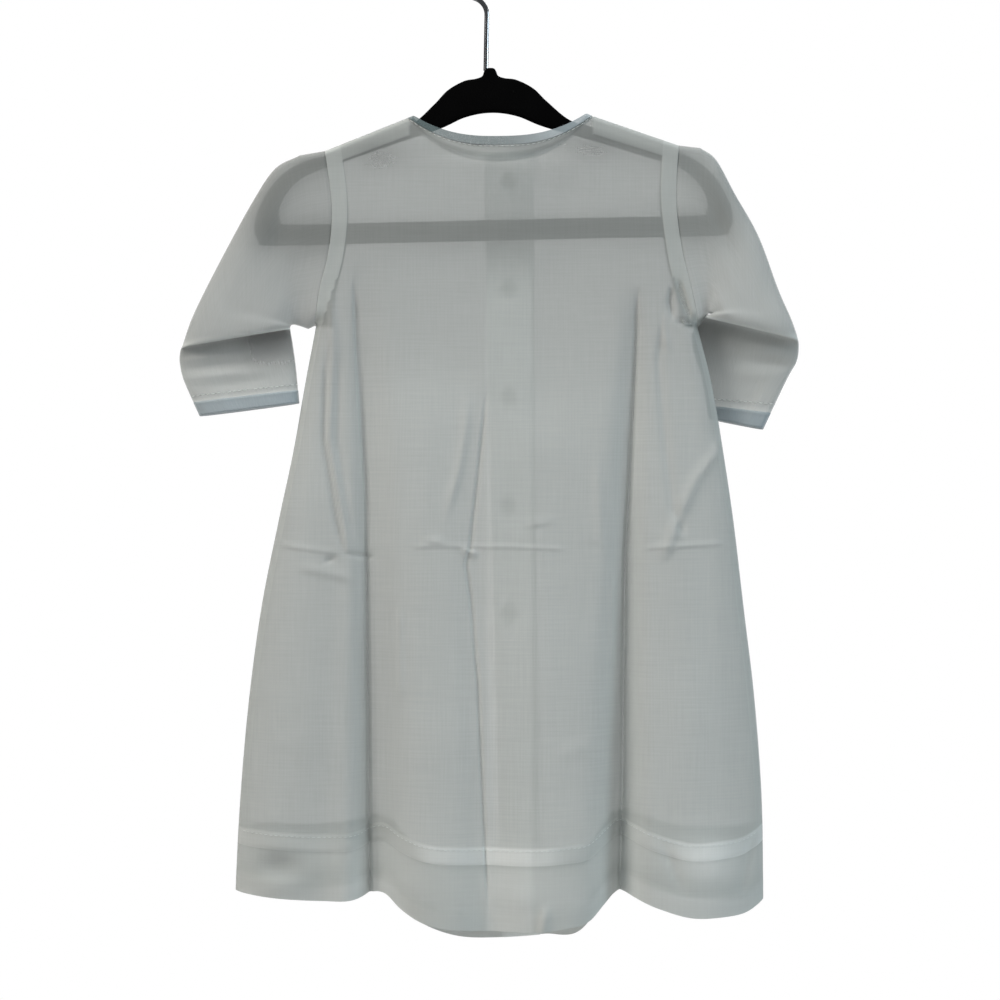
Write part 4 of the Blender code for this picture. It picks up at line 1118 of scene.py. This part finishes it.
def stitchRun(place, across, up, centred=False):
    # Points and outward normals along a line of a sheet, a stitch apart
    across, up = np.broadcast_arrays(np.array(across, dtype=float), np.array(up, dtype=float))
    step = 0.003
    here = place(across, up)[0]
    side = place(across + np.where(across > 0.5, -step, step), up)[0] - here
    over = place(across, up - step)[0] - here
    normal = np.cross(side, over)
    normal /= np.maximum(np.linalg.norm(normal, axis=1), 1e-9)[:, None]
    away = here - here.mean(axis=0) if centred else here * (0, 1, 0)
    normal *= np.where((normal * away).sum(axis=1) < 0, -1, 1)[:, None]
    length = np.concatenate(([0], np.cumsum(np.linalg.norm(np.diff(here, axis=0), axis=1))))
    spots = np.arange(stitchLook["pitch"] / 2, length[-1], stitchLook["pitch"])

    def at(values, where):
        return np.stack([np.interp(where, length, values[:, k]) for k in range(3)], axis=1)
    middle, facing = at(here, spots), at(normal, spots)
    ahead = at(here, spots + 0.5) - at(here, spots - 0.5)
    return middle + facing * stitchLook["proud"], facing, ahead


def sewRows(name, runs):
    bm = bmesh.new()
    for middles, facings, aheads in runs:
        for middle, facing, ahead in zip(middles, facings, aheads):
            along = Vector(ahead).normalized()
            out = Vector(facing)
            out = (out - along * out.dot(along)).normalized()
            turn = Matrix((along * stitchLook["long"] / 2, along.cross(out) * stitchLook["radius"],
                           out * stitchLook["radius"])).transposed().to_4x4()
            bmesh.ops.create_icosphere(bm, subdivisions=1, radius=mm,
                                       matrix=Matrix.Translation(Vector(middle) * mm) @ turn)
    bmesh.ops.recalc_face_normals(bm, faces=bm.faces)
    giveMaterial(finishMesh(bm, name), threadWhite)


hemLine, neckLine = -0.14, 1.993  # just under the hem's top and the back's neckline
upTheFront = np.concatenate((np.linspace(-1.98, 0, 60), np.linspace(0.01, 1.985, 200)))
placeInner, placeOuter = (place for piece, columns, place in fronts.values())
sewRows("thread_hem", [stitchRun(placeBack, np.linspace(0.012, 0.988, 300), hemLine),
                       stitchRun(placeInner, np.linspace(0.02, 0.99, 200), hemLine),
                       stitchRun(placeOuter, np.linspace(0.01, 0.98, 200), hemLine)])
sewRows("thread_placket", [stitchRun(placeOuter, share, upTheFront) for share in (0.014, 0.172)])
aroundArm = np.linspace(0.01, 2 * math.pi - 0.01, 160)
sewRows("thread_cuffs", [stitchRun(sleeves[side][3], aroundArm, cuffRing(side) - 0.22, True)
                         for side in ("left", "right")])
sewRows("thread_neck", [stitchRun(placeBack, np.linspace(0.245, 0.755, 120), neckLine)])
print("stage: stitching")


# Buttons, each sewn on over a worked buttonhole in the outer front
buttonLook = {
    "x": 13.0, "z": (-141.0, -205.0, -269.0, -333.0, -397.0), "radius": 5.0, "thick": 2.2,
    "profile": [  # in from the rim and up from the back; then the sunk middle
        (0.9, 0.0), (0.3, 0.25), (0.0, 0.8), (0.0, 1.4), (0.3, 1.95), (0.9, 2.2), (1.5, 2.12), (2.0, 1.7),
    ],
    "middle": 1.55, "holeRadius": 0.62, "holeSpread": 1.15, "cord": (0.2, 1.55, 0.36), "cordSlip": 0.17,
    "slitLong": 13.0, "slitHalf": 1.5, "beads": 72, "bead": (0.75, 0.3, 0.24), "proud": 0.12, "seat": 0.35,
}


def outerFront(x, z):
    return Vector((x, float(clothDepth("front", np.array([x]), np.array([z]), True)[0]), z))


def buttonSeat(z):  # the highest cloth under the button, its way out and its way up
    x, reach = buttonLook["x"], buttonLook["radius"]
    here = outerFront(x, z)
    across = outerFront(x + reach, z) - outerFront(x - reach, z)
    up = outerFront(x, z + reach) - outerFront(x, z - reach)
    out = up.cross(across).normalized()
    out = out if out.y > 0 else -out
    steps = (-reach, 0, reach)
    lift = max((outerFront(x + dx, z + dz) - here).dot(out) for dx in steps for dz in steps)
    up = (up - out * up.dot(out)).normalized()
    seat = here + out * (max(lift, 0) + buttonLook["seat"])
    return Matrix((up.cross(out), up, out)).transposed().to_4x4(), seat


def turnedDisc(name, profile):
    bm = bmesh.new()
    verts = [bm.verts.new((r, 0.0, height)) for r, height in profile]
    edges = [bm.edges.new(pair) for pair in zip(verts, verts[1:])]
    bmesh.ops.spin(bm, geom=verts + edges, cent=(0, 0, 0), axis=(0, 0, 1), angle=2 * math.pi, steps=48,
                   use_merge=True)
    bmesh.ops.remove_doubles(bm, verts=bm.verts, dist=0.001)
    bmesh.ops.recalc_face_normals(bm, faces=bm.faces)
    return finishMesh(bm, name)


def drillHoles(disc, places):
    look = buttonLook
    bm = bmesh.new()
    for x, y in places:
        bmesh.ops.create_cone(bm, cap_ends=True, segments=16, radius1=look["holeRadius"],
                              radius2=look["holeRadius"], depth=3 * look["thick"],
                              matrix=Matrix.Translation((x, y, 0)))
    drill = finishMesh(bm, "drill")
    cutter = disc.modifiers.new("holes", "BOOLEAN")
    cutter.object, cutter.operation, cutter.solver = drill, "DIFFERENCE", "EXACT"
    bpy.context.view_layer.update()
    mesh = bpy.data.meshes.new_from_object(disc.evaluated_get(bpy.context.evaluated_depsgraph_get()))
    disc.modifiers.clear()
    disc.data = mesh
    bpy.data.objects.remove(drill)
    return mesh


def sewnButton(number, z):
    look = buttonLook
    turn, seat = buttonSeat(z)
    place = Matrix.Translation(seat * mm) @ turn @ Matrix.Scale(mm, 4)
    rim = [(look["radius"] - inward, height) for inward, height in look["profile"]]
    disc = turnedDisc(f"gown_button_{number}", [(0.0, 0.0), *rim, (0.0, look["middle"])])
    apart = look["holeSpread"]
    mesh = drillHoles(disc, [(x, y) for x in (-apart, apart) for y in (-apart, apart)])
    mesh.transform(place)
    mesh.shade_smooth()
    mesh.set_sharp_from_angle(angle=math.radians(35))
    giveMaterial(disc, shell)
    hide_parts(f"button_{number}")

    bm = bmesh.new()  # the thread through the holes, and the worked edge of the buttonhole under them
    for x in (-apart, apart):
        for slip in (-look["cordSlip"], look["cordSlip"]):
            turn = Matrix.Translation((x + slip, 0, look["profile"][-1][1]))
            turn = turn @ Matrix.Diagonal((*look["cord"], 1))
            bmesh.ops.create_icosphere(bm, subdivisions=2, radius=1.0, matrix=place @ turn)
    half, wide = look["slitLong"] / 2, look["slitHalf"]
    for k in range(look["beads"]):
        turnBy = 2 * math.pi * k / look["beads"]
        across, up = math.cos(turnBy), math.sin(turnBy)
        if abs(across) > 0.2:  # along a side, else round an end
            dx, dz = wide * (1 if across > 0 else -1), (half - wide) * up + wide * up
        else:
            dx, dz = wide * across, (half - wide) * (1 if up > 0 else -1) + wide * up
        spot = outerFront(look["x"] + dx, z + dz) + Vector((0, look["proud"], 0))
        turn = Matrix.Translation(spot * mm) @ Matrix.Diagonal((*look["bead"], 1))
        bmesh.ops.create_icosphere(bm, subdivisions=1, radius=mm, matrix=turn)
    giveMaterial(finishMesh(bm, f"thread_button_{number}"), threadWhite)


for number, z in enumerate(buttonLook["z"], 1):
    sewnButton(number, z)
print("stage: buttons")

# Each sheet's cut, as it shows
sheets = [(gownBack, backColumns, panelLines(), placeBack, [neckTape])]
sheets += [(piece, columns, panelLines(), place, []) for piece, columns, place in fronts.values()]
sheets += [(*sleeves[side], [cuffs[side]]) for side in ("left", "right")]
for piece, columns, rows, place, sewnOn in sheets:
    width, length, area = cutSize(columns, rows, place)
    print(f"cut: {piece.name} {width * 1000:.0f} x {length * 1000:.0f} mm, {area * 10000:.0f} cm2")

# Studio
stageLook = {"floorZ": -0.80, "floorRadius": 0.82, "backdropRadius": 4.0, "backdrop": 1.0, "ambient": 0.12}
centre = Vector((0.0076, 0.0, -0.3297))


def studio():
    world = bpy.data.worlds.new("studio")
    world.use_nodes = True
    world.node_tree.nodes["Background"].inputs["Color"].default_value = (0.97, 0.99, 1.0, 1.0)
    world.node_tree.nodes["Background"].inputs["Strength"].default_value = stageLook["ambient"]
    bpy.context.scene.world = world
    bpy.context.scene.view_settings.view_transform = "Standard"

    bm = bmesh.new()
    bmesh.ops.create_icosphere(bm, subdivisions=4, radius=stageLook["backdropRadius"],
                               matrix=Matrix.Translation(centre))
    bmesh.ops.reverse_faces(bm, faces=bm.faces)
    backdrop = finishMesh(bm, "backdrop")
    material = bpy.data.materials.new("paperWhite")
    material.use_nodes = True
    tree = material.node_tree
    tree.nodes.clear()
    glow = addNode(tree, "ShaderNodeEmission", {"Strength": stageLook["backdrop"]})
    addNode(tree, "ShaderNodeOutputMaterial", {"Surface": glow.outputs[0]})
    backdrop.data.materials.append(material)
    backdrop.visible_diffuse = False  # it is only looked at: the lamps and the room light the gown
    backdrop.visible_glossy = False
    backdrop.visible_shadow = False

    bm = bmesh.new()
    bmesh.ops.create_circle(bm, cap_ends=True, segments=96, radius=stageLook["floorRadius"],
                            matrix=Matrix.Translation((centre.x, 0.0, stageLook["floorZ"])))
    floor = finishMesh(bm, "floor")
    material, tree, shader = newMaterial("floorPaper", Base_Color=(0.86, 0.86, 0.85, 1.0), Roughness=0.9)
    place = addNode(tree, "ShaderNodeTexCoord").outputs["Object"]
    flat = addNode(tree, "ShaderNodeMapping", {"Vector": place, "Scale": (1.0, 1.0, 0.0)})
    far = addNode(tree, "ShaderNodeVectorMath", {0: flat.outputs[0]}, operation="LENGTH")
    fade = addNode(tree, "ShaderNodeMapRange",
                   {"Value": far.outputs["Value"], "From Min": 0.45, "From Max": 0.8, "To Min": 1.0,
                    "To Max": 0.0}, interpolation_type="SMOOTHSTEP")
    tree.links.new(fade.outputs[0], shader.inputs["Alpha"])
    floor.data.materials.append(material)


def softbox(name, place, size, power, colour):
    light = bpy.data.lights.new(name, "AREA")
    light.shape = "DISK"
    light.size = size
    light.energy = power
    light.color = colour
    lamp = bpy.data.objects.new(name, light)
    lamp.location = place
    lamp.rotation_euler = (centre - Vector(place)).to_track_quat("-Z", "Y").to_euler()
    bpy.context.scene.collection.objects.link(lamp)


studio()
softbox("keyLeft", (-1.2, -0.7, 0.75), 0.7, 20.0, (1.0, 0.94, 0.88))
softbox("fillRight", (1.5, -0.75, 0.2), 0.7, 10.5, (0.79, 0.93, 1.0))
softbox("top", (0.1, -0.5, 1.15), 0.7, 9.0, (1.0, 1.0, 1.0))
softbox("behind", (0.7, 1.5, 0.5), 1.0, 12.0, (1.0, 0.99, 0.97))

camera = bpy.data.objects.new("camera", bpy.data.cameras.new("camera"))
camera.location = (centre.x, -1.4, centre.z)
camera.rotation_euler = (math.pi / 2, 0.0, 0.0)
camera.data.sensor_width = 36.0
camera.data.lens = 86.15  # 585 mm across the picture at the hanger's plane
bpy.context.scene.collection.objects.link(camera)
bpy.context.scene.camera = camera
print("stage: studio")
